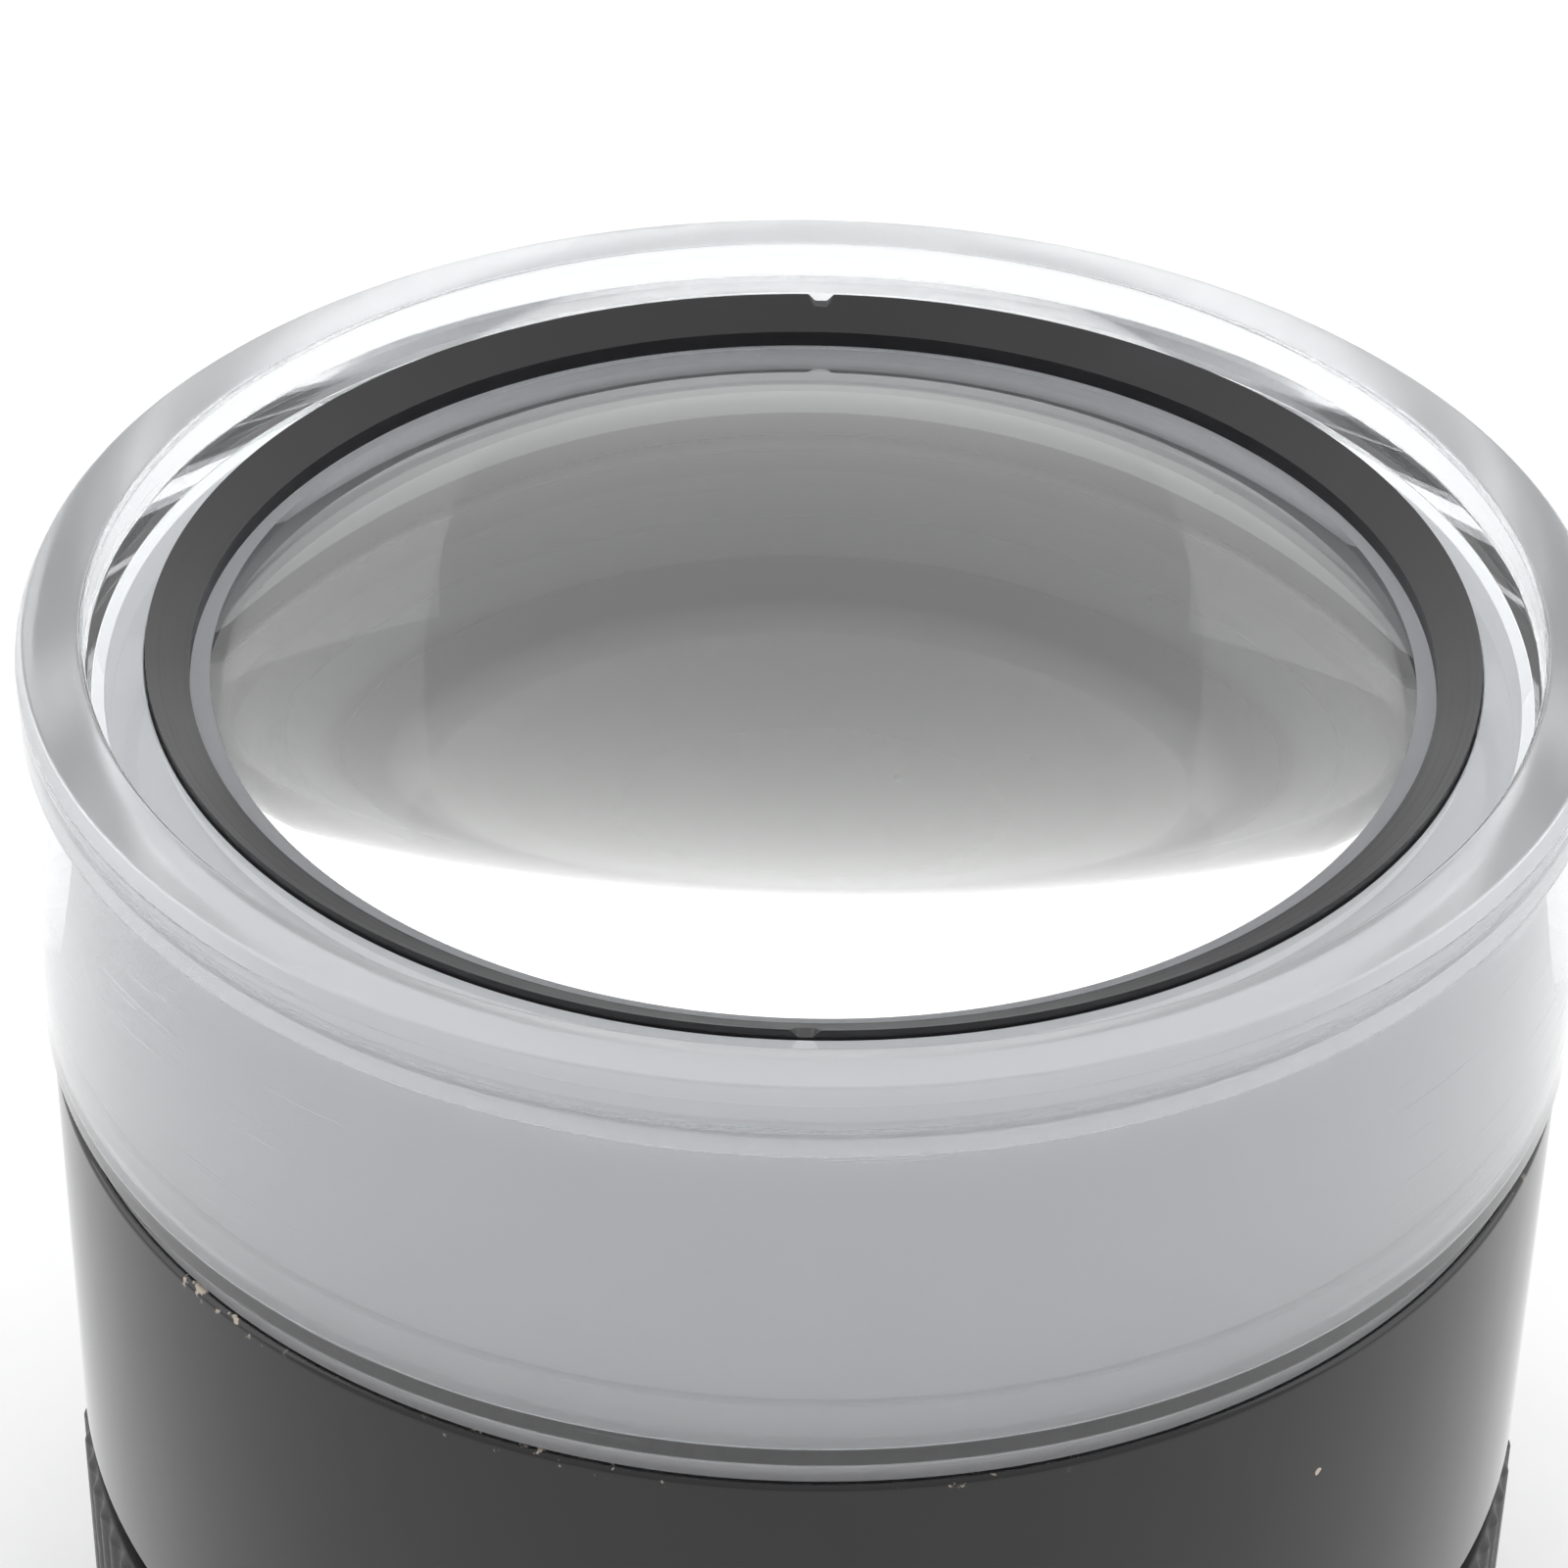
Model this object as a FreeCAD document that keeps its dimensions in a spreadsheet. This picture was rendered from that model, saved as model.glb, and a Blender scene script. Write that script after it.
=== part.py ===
"""Focusing stand magnifier: a domed lens in a clear acrylic collar on a black barrel.

Every piece is turned about Z, so most bodies are one closed section spun a full turn.
The origin is the middle of the face that rests on the table, +Z is up, sizes are millimetres.
"""

import FreeCAD, Part
import math
import os
import re
import Sketcher

SIZES = {
    # the whole magnifier
    "rim_height": 66.0,
    "fit_gap": 0.05,
    "thread_gap": 0.08,
    # clear collar round the field lens
    "collar_radius": 34.0,
    "collar_bore": 31.1,
    "collar_height": 19.2,
    "collar_chamfer_width": 0.35,
    "collar_chamfer_height": 0.7,
    "collar_foot_chamfer": 0.5,
    "gasket_thickness": 0.2,
    "collar_flange_drop": 1.65,
    "collar_flange_foot": 61.5,
    # lens cell
    "cell_radius": 30.6,
    "cell_flange_radius": 33.45,
    "cell_flange_top": 46.6,
    "cell_flange_thickness": 0.7,
    "cell_thread_radius": 31.4,
    "cell_foot": 38.2,
    "field_pocket_radius": 28.2,
    "field_thread_radius": 28.63,
    "field_thread_depth": 2.4,
    "field_seat_height": 47.0,
    "field_seat_radius": 26.6,
    # field lens and its retaining ring
    "field_lens_radius": 28.1,
    "field_front_curve": 66.0,
    "field_back_curve": 90.0,
    "field_front_edge_radius": 25.9,
    "field_front_edge_height": 63.25,
    "field_bevel_foot": 62.15,
    "field_back_edge_radius": 26.4,
    "ring_crest_drop": 1.26,
    "ring_bore": 26.76,
    "ring_bore_top_drop": 2.31,
    "ring_bore_foot_height": 62.95,
    "ring_foot_height": 62.05,
    "notch_top_width": 0.95,
    "notch_foot_width": 0.55,
    "notch_depth": 0.35,
    # middle lens, below the field lens in the same cell
    "middle_lens_radius": 28.0,
    "middle_lens_top": 42.6,
    "middle_lens_edge_foot": 40.05,
    "middle_back_curve": 110.0,
    "middle_back_edge_radius": 26.3,
    "middle_pocket_radius": 28.05,
    "middle_seat_height": 42.65,
    "middle_thread_radius": 28.35,
    "middle_thread_top": 39.3,
    "middle_ring_foot": 38.3,
    "middle_ring_bore": 26.4,
    # barrel
    "barrel_radius": 33.75,
    "barrel_top_chamfer": 0.2,
    "barrel_shoulder_top": 24.8,
    "barrel_shoulder_radius": 33.1,
    "barrel_shoulder_foot": 22.9,
    "barrel_counterbore_foot": 36.0,
    "sleeve_radius": 30.5,
    "sleeve_bore": 27.5,
    "sleeve_foot": 8.0,
    "slot_width": 2.5,
    "slot_length": 8.8,
    # focusing ring: cam ring inside a knurled grip
    "ring_foot": 8.3,
    "ring_top": 22.6,
    "cam_ring_radius": 32.2,
    "cam_groove_radius": 31.4,
    "cam_groove_width": 2.6,
    "cam_lead": 18.0,
    "cam_groove_rise": 7.5,
    "cam_height": 15.45,
    "cam_starts": 3.0,
    "grip_bore": 32.25,
    "grip_radius": 33.95,
    "grip_chamfer": 0.4,
    "flute_count": 120.0,
    "flute_radius": 0.62,
    "grub_radius": 0.8,
    "grub_tip_radius": 31.6,
    "grub_head_radius": 33.1,
    "grub_drop": 1.4,
    "washer_thickness": 0.2,
    "washer_bore": 30.6,
    "washer_radius": 32.9,
    # sliding carriage with the lower lenses
    "carriage_radius": 27.45,
    "carriage_foot": 10.5,
    "carriage_top": 32.0,
    "carriage_thread_radius": 25.6,
    "carriage_thread_top": 13.0,
    "carriage_pocket_radius": 25.2,
    "carriage_seat_height": 27.0,
    "carriage_seat_radius": 23.5,
    "carriage_stop_shelf": 29.0,
    "carriage_stop_bore": 26.0,
    "follower_radius": 1.2,
    "follower_inner": 25.5,
    "follower_outer": 31.2,
    "stop_aperture": 20.0,
    "stop_thickness": 1.0,
    "lower_lens_radius": 25.1,
    "doublet_front_curve": 60.0,
    "doublet_cement_curve": 90.0,
    "doublet_seat_edge": 23.3,
    "doublet_cement_edge": 22.5,
    "doublet_foot": 17.3,
    "cement_gap": 0.02,
    "spacer_bore": 23.2,
    "lower_lens_top": 15.8,
    "lower_lens_edge_foot": 12.9,
    "lower_lens_back_curve": 80.0,
    "lower_ring_bore": 23.4,
    "lower_ring_notch": 1.2,
    # foot ring, its screws and the rubber foot
    "end_radius": 33.6,
    "end_chamfer": 0.6,
    "end_foot": 1.5,
    "end_lip_top": 5.6,
    "end_lip_bore": 26.0,
    "end_bore": 27.9,
    "rest_radius": 33.0,
    "rest_bore": 27.3,
    "rest_top": 3.0,
    "rest_edge": 0.5,
    "screw_circle": 29.2,
    "screw_radius": 0.8,
    "screw_hole": 0.85,
    "screw_head_radius": 1.45,
    "screw_head_hole": 1.55,
    "screw_head_seat": 4.6,
    "screw_head_height": 1.2,
    "screw_tip": 12.2,
    "screw_count": 3.0,
}

SIZE_LINKS = {name: "Sizes." + name for name in SIZES}

doc = FreeCAD.newDocument("stand_magnifier")
sheet = doc.addObject("Spreadsheet::Sheet", "Sizes")
pieces = []


def fill_sheet():
    """One row per driving size: its name in column A, its value with an alias in column B."""
    for row, (name, value) in enumerate(SIZES.items(), start=1):
        sheet.set(f"A{row}", name)
        sheet.set(f"B{row}", str(value))
        sheet.setAlias(f"B{row}", name)
    doc.recompute()


def cell(name):
    """The sheet's value of one named size."""
    return float(getattr(sheet, name))


def link(formula):
    """A formula in size names, with each name pointed at the sheet."""
    return re.sub("[a-z_]+", lambda word: SIZE_LINKS.get(word[0], word[0]), formula)


def number(formula):
    """The value of a formula in size names."""
    return float(sheet.evalExpression(link(formula)))


def own_origin(body, role):
    """One of a body's own origin planes or axes."""
    for feature in body.Origin.OriginFeatures:
        if feature.Role == role:
            return feature
    raise ValueError(role)


def new_body(label):
    """A new body for one piece."""
    body = doc.addObject("PartDesign::Body", label + "_body")
    body.Label = label
    pieces.append(body)
    return body


def new_sketch(body, name, role):
    """A sketch on one of the body's own origin planes."""
    sketch = body.newObject("Sketcher::SketchObject", name)
    sketch.AttachmentSupport = (own_origin(body, role), [""])
    sketch.MapMode = "FlatFace"
    return sketch


def bind(sketch, constraint, formula):
    """Adds a driving constraint and ties it to the sheet."""
    index = sketch.addConstraint(constraint)
    sketch.setExpression(f"Constraints[{index}]", link(formula))


def dome_edge(start, end):
    """An arc between two points with its centre on the axis, and which of its ends is the first."""
    (r_a, z_a), (r_b, z_b) = start, end
    centre_z = (r_b**2 + z_b**2 - r_a**2 - z_a**2) / (2 * (z_b - z_a))
    radius = math.hypot(r_a, z_a - centre_z)
    turn_a = math.atan2(z_a - centre_z, r_a)
    turn_b = math.atan2(z_b - centre_z, r_b)
    circle = Part.Circle(FreeCAD.Vector(0, centre_z, 0), FreeCAD.Vector(0, 0, 1), radius)
    low, high = sorted((turn_a, turn_b))
    return Part.ArcOfCircle(circle, low, high), (1, 2) if turn_a < turn_b else (2, 1)


def closed_section(sketch, corners, domes=()):
    """Draws a closed outline of (radius, height) formulas; the edges named in domes are spherical."""
    points = [(number(r), number(z)) for r, z in corners]
    ends = []
    for index, point in enumerate(points):
        following = points[(index + 1) % len(points)]
        if index in domes:
            edge, order = dome_edge(point, following)
        else:
            edge = Part.LineSegment(FreeCAD.Vector(*point, 0), FreeCAD.Vector(*following, 0))
            order = (1, 2)
        sketch.addGeometry(edge, False)
        ends.append(order)
        if index in domes:
            sketch.addConstraint(Sketcher.Constraint("PointOnObject", index, 3, -2))
    for index in range(len(points)):
        following = (index + 1) % len(points)
        joined = Sketcher.Constraint("Coincident", index, ends[index][1], following, ends[following][0])
        sketch.addConstraint(joined)
    for index, ((r, z), (r_now, z_now)) in enumerate(zip(corners, points)):
        corner = ends[index][0]
        if r == "0":
            sketch.addConstraint(Sketcher.Constraint("PointOnObject", index, corner, -2))
        else:
            bind(sketch, Sketcher.Constraint("DistanceX", -1, 1, index, corner, r_now), r)
        if z == "0":
            sketch.addConstraint(Sketcher.Constraint("PointOnObject", index, corner, -1))
        else:
            bind(sketch, Sketcher.Constraint("DistanceY", -1, 1, index, corner, z_now), z)


def turned(label, corners, domes=()):
    """A piece turned about Z from one closed section."""
    body = new_body(label)
    section = new_sketch(body, label + "_section", "XZ_Plane")
    closed_section(section, corners, domes)
    revolution = body.newObject("PartDesign::Revolution", label + "_turn")
    revolution.Profile = section
    revolution.ReferenceAxis = (section, ["V_Axis"])
    revolution.Angle = 360.0
    section.Visibility = False
    doc.recompute()
    return body


def pattern_round(body, feature, count):
    """Repeats a feature evenly about Z."""
    pattern = body.newObject("PartDesign::PolarPattern", feature.Name + "_round")
    pattern.Originals = [feature]
    pattern.Axis = (own_origin(body, "Z_Axis"), [""])
    pattern.Angle = 360.0
    pattern.setExpression("Occurrences", link(count))
    body.Tip = pattern
    doc.recompute()


def cut(body, label, sketch, length, both_ways=False, backwards=False):
    """Pockets a sketch and makes sure that it removed something."""
    before = body.Shape.Volume
    pocket = body.newObject("PartDesign::Pocket", label)
    pocket.Profile = sketch
    pocket.setExpression("Length", link(length))
    pocket.Midplane = both_ways
    pocket.Reversed = backwards
    sketch.Visibility = False
    doc.recompute()
    if body.Shape.Volume >= before:
        raise RuntimeError(label + " cut nothing")
    return pocket


def cut_forwards(body, label, sketch):
    """Pockets a sketch on the XZ plane towards +Y, through that wall only."""
    normal = sketch.Placement.Rotation.multVec(FreeCAD.Vector(0, 0, 1))
    return cut(body, label, sketch, "collar_radius", backwards=normal.y > 0)


def side_holes(body, label, height, radius, count):
    """Round holes through the wall at one height, the first towards +Y."""
    sketch = new_sketch(body, label + "_outline", "XZ_Plane")
    middle = FreeCAD.Vector(0, number(height), 0)
    sketch.addGeometry(Part.Circle(middle, FreeCAD.Vector(0, 0, 1), number(radius)), False)
    sketch.addConstraint(Sketcher.Constraint("PointOnObject", 0, 3, -2))
    bind(sketch, Sketcher.Constraint("Radius", 0, number(radius)), radius)
    bind(sketch, Sketcher.Constraint("DistanceY", -1, 1, 0, 3, number(height)), height)
    pattern_round(body, cut_forwards(body, label, sketch), count)


def round_hole(body, label, middle, radius):
    """A sketch on the XY plane with one circle at (x, y) formulas."""
    sketch = new_sketch(body, label, "XY_Plane")
    x, y = middle
    circle = Part.Circle(FreeCAD.Vector(number(x), number(y), 0), FreeCAD.Vector(0, 0, 1), number(radius))
    sketch.addGeometry(circle, False)
    bind(sketch, Sketcher.Constraint("Radius", 0, number(radius)), radius)
    if x == "0":
        sketch.addConstraint(Sketcher.Constraint("PointOnObject", 0, 3, -2))
    else:
        bind(sketch, Sketcher.Constraint("DistanceX", -1, 1, 0, 3, number(x)), x)
    bind(sketch, Sketcher.Constraint("DistanceY", -1, 1, 0, 3, number(y)), y)
    return sketch


# --- clear end -------------------------------------------------------------------------------


def clear_collar():
    """Polished acrylic collar with a chamfered rim; its inner flange is threaded for the lens ring."""
    rim = "rim_height"
    foot = "rim_height - collar_height"
    shelf = "rim_height - collar_flange_drop"
    turned("clear_collar", [
        ("collar_bore", foot),
        ("collar_radius - collar_foot_chamfer", foot),
        ("collar_radius", foot + " + collar_foot_chamfer"),
        ("collar_radius", rim + " - collar_chamfer_height"),
        ("collar_radius - collar_chamfer_width", rim),
        ("collar_bore + gasket_thickness", rim),
        ("collar_bore", rim + " - gasket_thickness"),
        ("collar_bore", shelf),
        ("field_thread_radius", shelf),
        ("field_thread_radius", shelf + " - field_thread_depth"),
        ("field_pocket_radius", shelf + " - field_thread_depth"),
        ("field_pocket_radius", "collar_flange_foot"),
        ("collar_bore", "collar_flange_foot"),
    ])


def collar_gasket():
    """Thin washer between the collar's foot and the cell's flange."""
    turned("collar_gasket", [
        ("collar_bore", "cell_flange_top"),
        ("cell_flange_radius - collar_foot_chamfer", "cell_flange_top"),
        ("cell_flange_radius - collar_foot_chamfer", "cell_flange_top + gasket_thickness"),
        ("collar_bore", "cell_flange_top + gasket_thickness"),
    ])


def lens_cell():
    """Frosted acrylic cell: two lens pockets back to back, a flange on the barrel and a thread below it."""
    top = "collar_flange_foot - fit_gap * 2"
    register = "collar_bore - fit_gap"
    flange_foot = "cell_flange_top - cell_flange_thickness"
    turned("lens_cell", [
        ("field_pocket_radius", top),
        ("cell_radius", top),
        ("cell_radius", "cell_flange_top + 2.4"),
        (register, "cell_flange_top + 2.4"),
        (register, "cell_flange_top"),
        ("cell_flange_radius", "cell_flange_top"),
        ("cell_flange_radius", flange_foot),
        ("cell_thread_radius", flange_foot),
        ("cell_thread_radius", "cell_foot"),
        ("middle_thread_radius", "cell_foot"),
        ("middle_thread_radius", "middle_thread_top"),
        ("middle_pocket_radius", "middle_thread_top"),
        ("middle_pocket_radius", "middle_seat_height"),
        ("field_seat_radius", "middle_seat_height"),
        ("field_seat_radius", "field_seat_height - fit_gap"),
        ("field_pocket_radius", "field_seat_height - fit_gap"),
    ])


def sag(curve, radius):
    """Formula of the height of a spherical cap of the given curve over the given radius."""
    return f"({curve} - sqrt( ({curve}) ^ 2 - ({radius}) ^ 2 ))"


def field_lens():
    """Thick biconvex lens with a ground bevel under the retaining ring."""
    front_top = "field_front_edge_height + " + sag("field_front_curve", "field_front_edge_radius")
    back_foot = "field_seat_height - " + sag("field_back_curve", "field_back_edge_radius")
    turned("field_lens", [
        ("0", front_top),
        ("field_front_edge_radius", "field_front_edge_height"),
        ("field_lens_radius", "field_bevel_foot"),
        ("field_lens_radius", "field_seat_height"),
        ("field_back_edge_radius", "field_seat_height"),
        ("0", back_foot),
    ], domes=(0, 4))


def field_retaining_ring():
    """Black ring with a sloping face and two spanner notches across its crest."""
    crest = "rim_height - ring_crest_drop"
    outside = "field_thread_radius - thread_gap"
    body = turned("field_retaining_ring", [
        ("ring_bore", "rim_height - ring_bore_top_drop"),
        (outside, crest),
        (outside, "ring_foot_height"),
        ("ring_bore", "ring_bore_foot_height"),
    ])
    notch = new_sketch(body, "field_ring_notch", "XZ_Plane")
    above = crest + " + notch_depth"
    closed_section_signed(notch, [
        ("notch_foot_width / 2", crest + " - notch_depth"),
        ("notch_top_width", above),
    ])
    cut(body, "field_ring_notches", notch, "collar_radius * 2", both_ways=True)


def closed_section_signed(sketch, half):
    """A trapezium mirrored about the vertical axis, from its right half's foot and top corners."""
    (foot_x, foot_z), (top_x, top_z) = half
    corners = [(number(foot_x), number(foot_z)), (number(top_x), number(top_z))]
    ring = [corners[0], corners[1], (-corners[1][0], corners[1][1]), (-corners[0][0], corners[0][1])]
    for index, point in enumerate(ring):
        following = ring[(index + 1) % 4]
        sketch.addGeometry(Part.LineSegment(FreeCAD.Vector(*point, 0), FreeCAD.Vector(*following, 0)), False)
    for index in range(4):
        sketch.addConstraint(Sketcher.Constraint("Coincident", index, 2, (index + 1) % 4, 1))
    sketch.addConstraint(Sketcher.Constraint("Symmetric", 0, 1, 3, 1, -2))
    sketch.addConstraint(Sketcher.Constraint("Symmetric", 0, 2, 2, 1, -2))
    bind(sketch, Sketcher.Constraint("DistanceX", -1, 1, 0, 1, corners[0][0]), foot_x)
    bind(sketch, Sketcher.Constraint("DistanceY", -1, 1, 0, 1, corners[0][1]), foot_z)
    bind(sketch, Sketcher.Constraint("DistanceX", -1, 1, 0, 2, corners[1][0]), top_x)
    bind(sketch, Sketcher.Constraint("DistanceY", -1, 1, 0, 2, corners[1][1]), top_z)


def middle_lens():
    """Flat-topped lens, domed below."""
    back_foot = "middle_lens_edge_foot - " + sag("middle_back_curve", "middle_back_edge_radius")
    turned("middle_lens", [
        ("0", "middle_lens_top"),
        ("middle_lens_radius", "middle_lens_top"),
        ("middle_lens_radius", "middle_lens_edge_foot"),
        ("middle_back_edge_radius", "middle_lens_edge_foot"),
        ("0", back_foot),
    ], domes=(3,))


def middle_retaining_ring():
    """Threaded ring that holds the middle lens from below."""
    turned("middle_retaining_ring", [
        ("middle_ring_bore", "middle_ring_foot"),
        ("middle_thread_radius - thread_gap", "middle_ring_foot"),
        ("middle_thread_radius - thread_gap", "middle_thread_top - fit_gap"),
        ("middle_pocket_radius - fit_gap", "middle_thread_top - fit_gap"),
        ("middle_pocket_radius - fit_gap", "middle_lens_edge_foot - fit_gap"),
        ("middle_ring_bore", "middle_lens_edge_foot - fit_gap"),
    ])


# --- barrel and focusing ring ----------------------------------------------------------------


def barrel():
    """Gloss black barrel: the cell screws into its top, its lower sleeve carries the cam ring."""
    top = "cell_flange_top - cell_flange_thickness"
    body = turned("barrel", [
        ("cell_thread_radius + fit_gap", top),
        ("barrel_radius - barrel_top_chamfer", top),
        ("barrel_radius", top + " - barrel_top_chamfer"),
        ("barrel_radius", "barrel_shoulder_top"),
        ("barrel_shoulder_radius", "barrel_shoulder_foot"),
        ("sleeve_radius", "barrel_shoulder_foot"),
        ("sleeve_radius", "sleeve_foot"),
        ("sleeve_bore", "sleeve_foot"),
        ("sleeve_bore", "barrel_counterbore_foot"),
        ("cell_thread_radius + fit_gap", "barrel_counterbore_foot"),
    ])
    slot = new_sketch(body, "barrel_slot_outline", "XZ_Plane")
    slot_outline(slot)
    slot_cut = cut_forwards(body, "barrel_slot", slot)
    pattern_round(body, slot_cut, "cam_starts")
    hole = round_hole(body, "barrel_screw_outline", ("0", "0 - screw_circle"), "screw_hole")
    drill = cut(body, "barrel_screw_hole", hole, "screw_tip + fit_gap", backwards=True)
    pattern_round(body, drill, "screw_count")


def slot_outline(sketch):
    """An upright slot with round ends, centred on the axis at the height of the followers."""
    half_width = number("slot_width / 2")
    low = number("cam_height - slot_length / 2 + slot_width / 2")
    high = number("cam_height + slot_length / 2 - slot_width / 2")
    upwards = FreeCAD.Vector(0, 0, 1)
    upper = Part.Circle(FreeCAD.Vector(0, high, 0), upwards, half_width)
    lower = Part.Circle(FreeCAD.Vector(0, low, 0), upwards, half_width)
    sketch.addGeometry(Part.ArcOfCircle(upper, 0, math.pi), False)
    sketch.addGeometry(Part.ArcOfCircle(lower, math.pi, 2 * math.pi), False)
    corners = [FreeCAD.Vector(-half_width, high, 0), FreeCAD.Vector(-half_width, low, 0)]
    sketch.addGeometry(Part.LineSegment(*corners), False)
    corners = [FreeCAD.Vector(half_width, low, 0), FreeCAD.Vector(half_width, high, 0)]
    sketch.addGeometry(Part.LineSegment(*corners), False)
    for first, first_end, second, second_end in ((0, 2, 2, 1), (2, 2, 1, 1), (1, 2, 3, 1), (3, 2, 0, 1)):
        sketch.addConstraint(Sketcher.Constraint("Tangent", first, first_end, second, second_end))
    sketch.addConstraint(Sketcher.Constraint("PointOnObject", 0, 3, -2))
    sketch.addConstraint(Sketcher.Constraint("PointOnObject", 1, 3, -2))
    bind(sketch, Sketcher.Constraint("Radius", 0, half_width), "slot_width / 2")
    bind(sketch, Sketcher.Constraint("DistanceY", -1, 1, 0, 3, high),
         "cam_height + slot_length / 2 - slot_width / 2")
    bind(sketch, Sketcher.Constraint("DistanceY", -1, 1, 1, 3, low),
         "cam_height - slot_length / 2 + slot_width / 2")


def cam_ring():
    """Ring that turns on the sleeve; helical grooves in its bore drive the three followers."""
    bore = "sleeve_radius + fit_gap"
    body = turned("cam_ring", [
        (bore, "ring_foot"),
        ("cam_ring_radius", "ring_foot"),
        ("cam_ring_radius", "ring_top"),
        (bore, "ring_top"),
    ])
    before = body.Shape.Volume
    groove = new_sketch(body, "cam_groove_section", "YZ_Plane")
    low = "cam_height - cam_groove_rise / 2 - cam_groove_width / 2"
    high = "cam_height - cam_groove_rise / 2 + cam_groove_width / 2"
    closed_section(groove, [
        ("sleeve_radius - 1", low),
        ("cam_groove_radius", low),
        ("cam_groove_radius", high),
        ("sleeve_radius - 1", high),
    ])
    helix = body.newObject("PartDesign::SubtractiveHelix", "cam_groove")
    helix.Profile = groove
    helix.ReferenceAxis = (groove, ["V_Axis"])
    helix.Mode = 0
    helix.setExpression("Pitch", link("cam_lead"))
    helix.setExpression("Height", link("cam_groove_rise"))
    groove.Visibility = False
    doc.recompute()
    pattern_round(body, helix, "cam_starts")
    if body.Shape.Volume >= before:
        raise RuntimeError("the cam grooves cut nothing")
    side_holes(body, "cam_ring_dimple", "ring_top - grub_drop", "grub_radius + fit_gap / 2", "screw_count")
    turn_back(body)


def turn_back(body):
    """Turns a ring so that the middle of its first cam groove points to +Y."""
    angle = -180.0 * number("cam_groove_rise / cam_lead")
    axis = FreeCAD.Vector(0, 0, 1)
    body.Placement = FreeCAD.Placement(FreeCAD.Vector(0, 0, 0), FreeCAD.Rotation(axis, angle))


def focus_grip():
    """Knurled grip, fluted all round."""
    body = turned("focus_grip", [
        ("grip_bore", "ring_foot"),
        ("grip_radius - grip_chamfer", "ring_foot"),
        ("grip_radius", "ring_foot + grip_chamfer"),
        ("grip_radius", "ring_top - grip_chamfer"),
        ("grip_radius - grip_chamfer", "ring_top"),
        ("grip_bore", "ring_top"),
    ])
    flute = round_hole(body, "grip_flute_outline", ("0", "grip_radius + flute_radius / 2"), "flute_radius")
    flute_cut = cut(body, "grip_flute", flute, "rim_height", backwards=True)
    pattern_round(body, flute_cut, "flute_count")
    side_holes(body, "grip_grub_hole", "ring_top - grub_drop", "grub_radius + fit_gap / 2", "screw_count")
    turn_back(body)


def ring_of(label, bore, radius, foot, top):
    """A plain flat ring."""
    return turned(label, [(bore, foot), (radius, foot), (radius, top), (bore, top)])


def radial_pins(label, radius, inner, outer, height, count, first_turn):
    """Round pins that point outwards at one height, as one group."""
    group = doc.addObject("Part::MultiFuse", label + "_group")
    group.Label = label
    pins = []
    for index in range(int(cell(count))):
        pin = doc.addObject("Part::Cylinder", f"{label}_{index}")
        turn = math.radians(first_turn + index * 360.0 / cell(count))
        outwards = FreeCAD.Vector(math.cos(turn), math.sin(turn), 0)
        pin.setExpression("Radius", link(radius))
        pin.setExpression("Height", link(f"{outer} - {inner}"))
        pin.Placement = FreeCAD.Placement(
            outwards * number(inner) + FreeCAD.Vector(0, 0, number(height)),
            FreeCAD.Rotation(FreeCAD.Vector(0, 0, 1), outwards),
        )
        pins.append(pin)
    group.Shapes = pins
    pieces.append(group)
    doc.recompute()


def focusing_ring_parts():
    """Cam ring, grip, the grub screws that join them and the two slip washers."""
    cam_ring()
    focus_grip()
    radial_pins("grip_grub_screws", "grub_radius", "grub_tip_radius", "grub_head_radius",
                "ring_top - grub_drop", "screw_count", 90.0 - 180.0 * number("cam_groove_rise / cam_lead"))
    ring_of("upper_slip_washer", "washer_bore", "washer_radius",
            "ring_top + fit_gap", "ring_top + fit_gap + washer_thickness")
    ring_of("lower_slip_washer", "washer_bore", "washer_radius",
            "sleeve_foot + fit_gap", "sleeve_foot + fit_gap + washer_thickness")


# --- focus group and foot --------------------------------------------------------------------


def lens_carriage():
    """Tube that slides in the sleeve and holds the lower lenses."""
    body = turned("lens_carriage", [
        ("carriage_thread_radius", "carriage_foot"),
        ("carriage_radius", "carriage_foot"),
        ("carriage_radius", "carriage_top"),
        ("carriage_stop_bore", "carriage_top"),
        ("carriage_stop_bore", "carriage_stop_shelf"),
        ("carriage_seat_radius", "carriage_stop_shelf"),
        ("carriage_seat_radius", "carriage_seat_height"),
        ("carriage_pocket_radius", "carriage_seat_height"),
        ("carriage_pocket_radius", "carriage_thread_top"),
        ("carriage_thread_radius", "carriage_thread_top"),
    ])
    side_holes(body, "follower_hole", "cam_height", "follower_radius + fit_gap / 2", "cam_starts")


def doublet():
    """Cemented doublet: a biconvex crown over a flint that is flat below."""
    top = "carriage_seat_height - fit_gap"
    crown_top = top + " + " + sag("doublet_front_curve", "doublet_seat_edge")
    cement = sag("doublet_cement_curve", "lower_lens_radius")
    turned("doublet_crown", [
        ("0", crown_top),
        ("doublet_seat_edge", top),
        ("lower_lens_radius", top),
        ("lower_lens_radius", "doublet_cement_edge"),
        ("0", "doublet_cement_edge - " + cement),
    ], domes=(0, 3))
    turned("doublet_flint", [
        ("0", "doublet_cement_edge - cement_gap - " + cement),
        ("lower_lens_radius", "doublet_cement_edge - cement_gap"),
        ("lower_lens_radius", "doublet_foot"),
        ("0", "doublet_foot"),
    ], domes=(0,))


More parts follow.
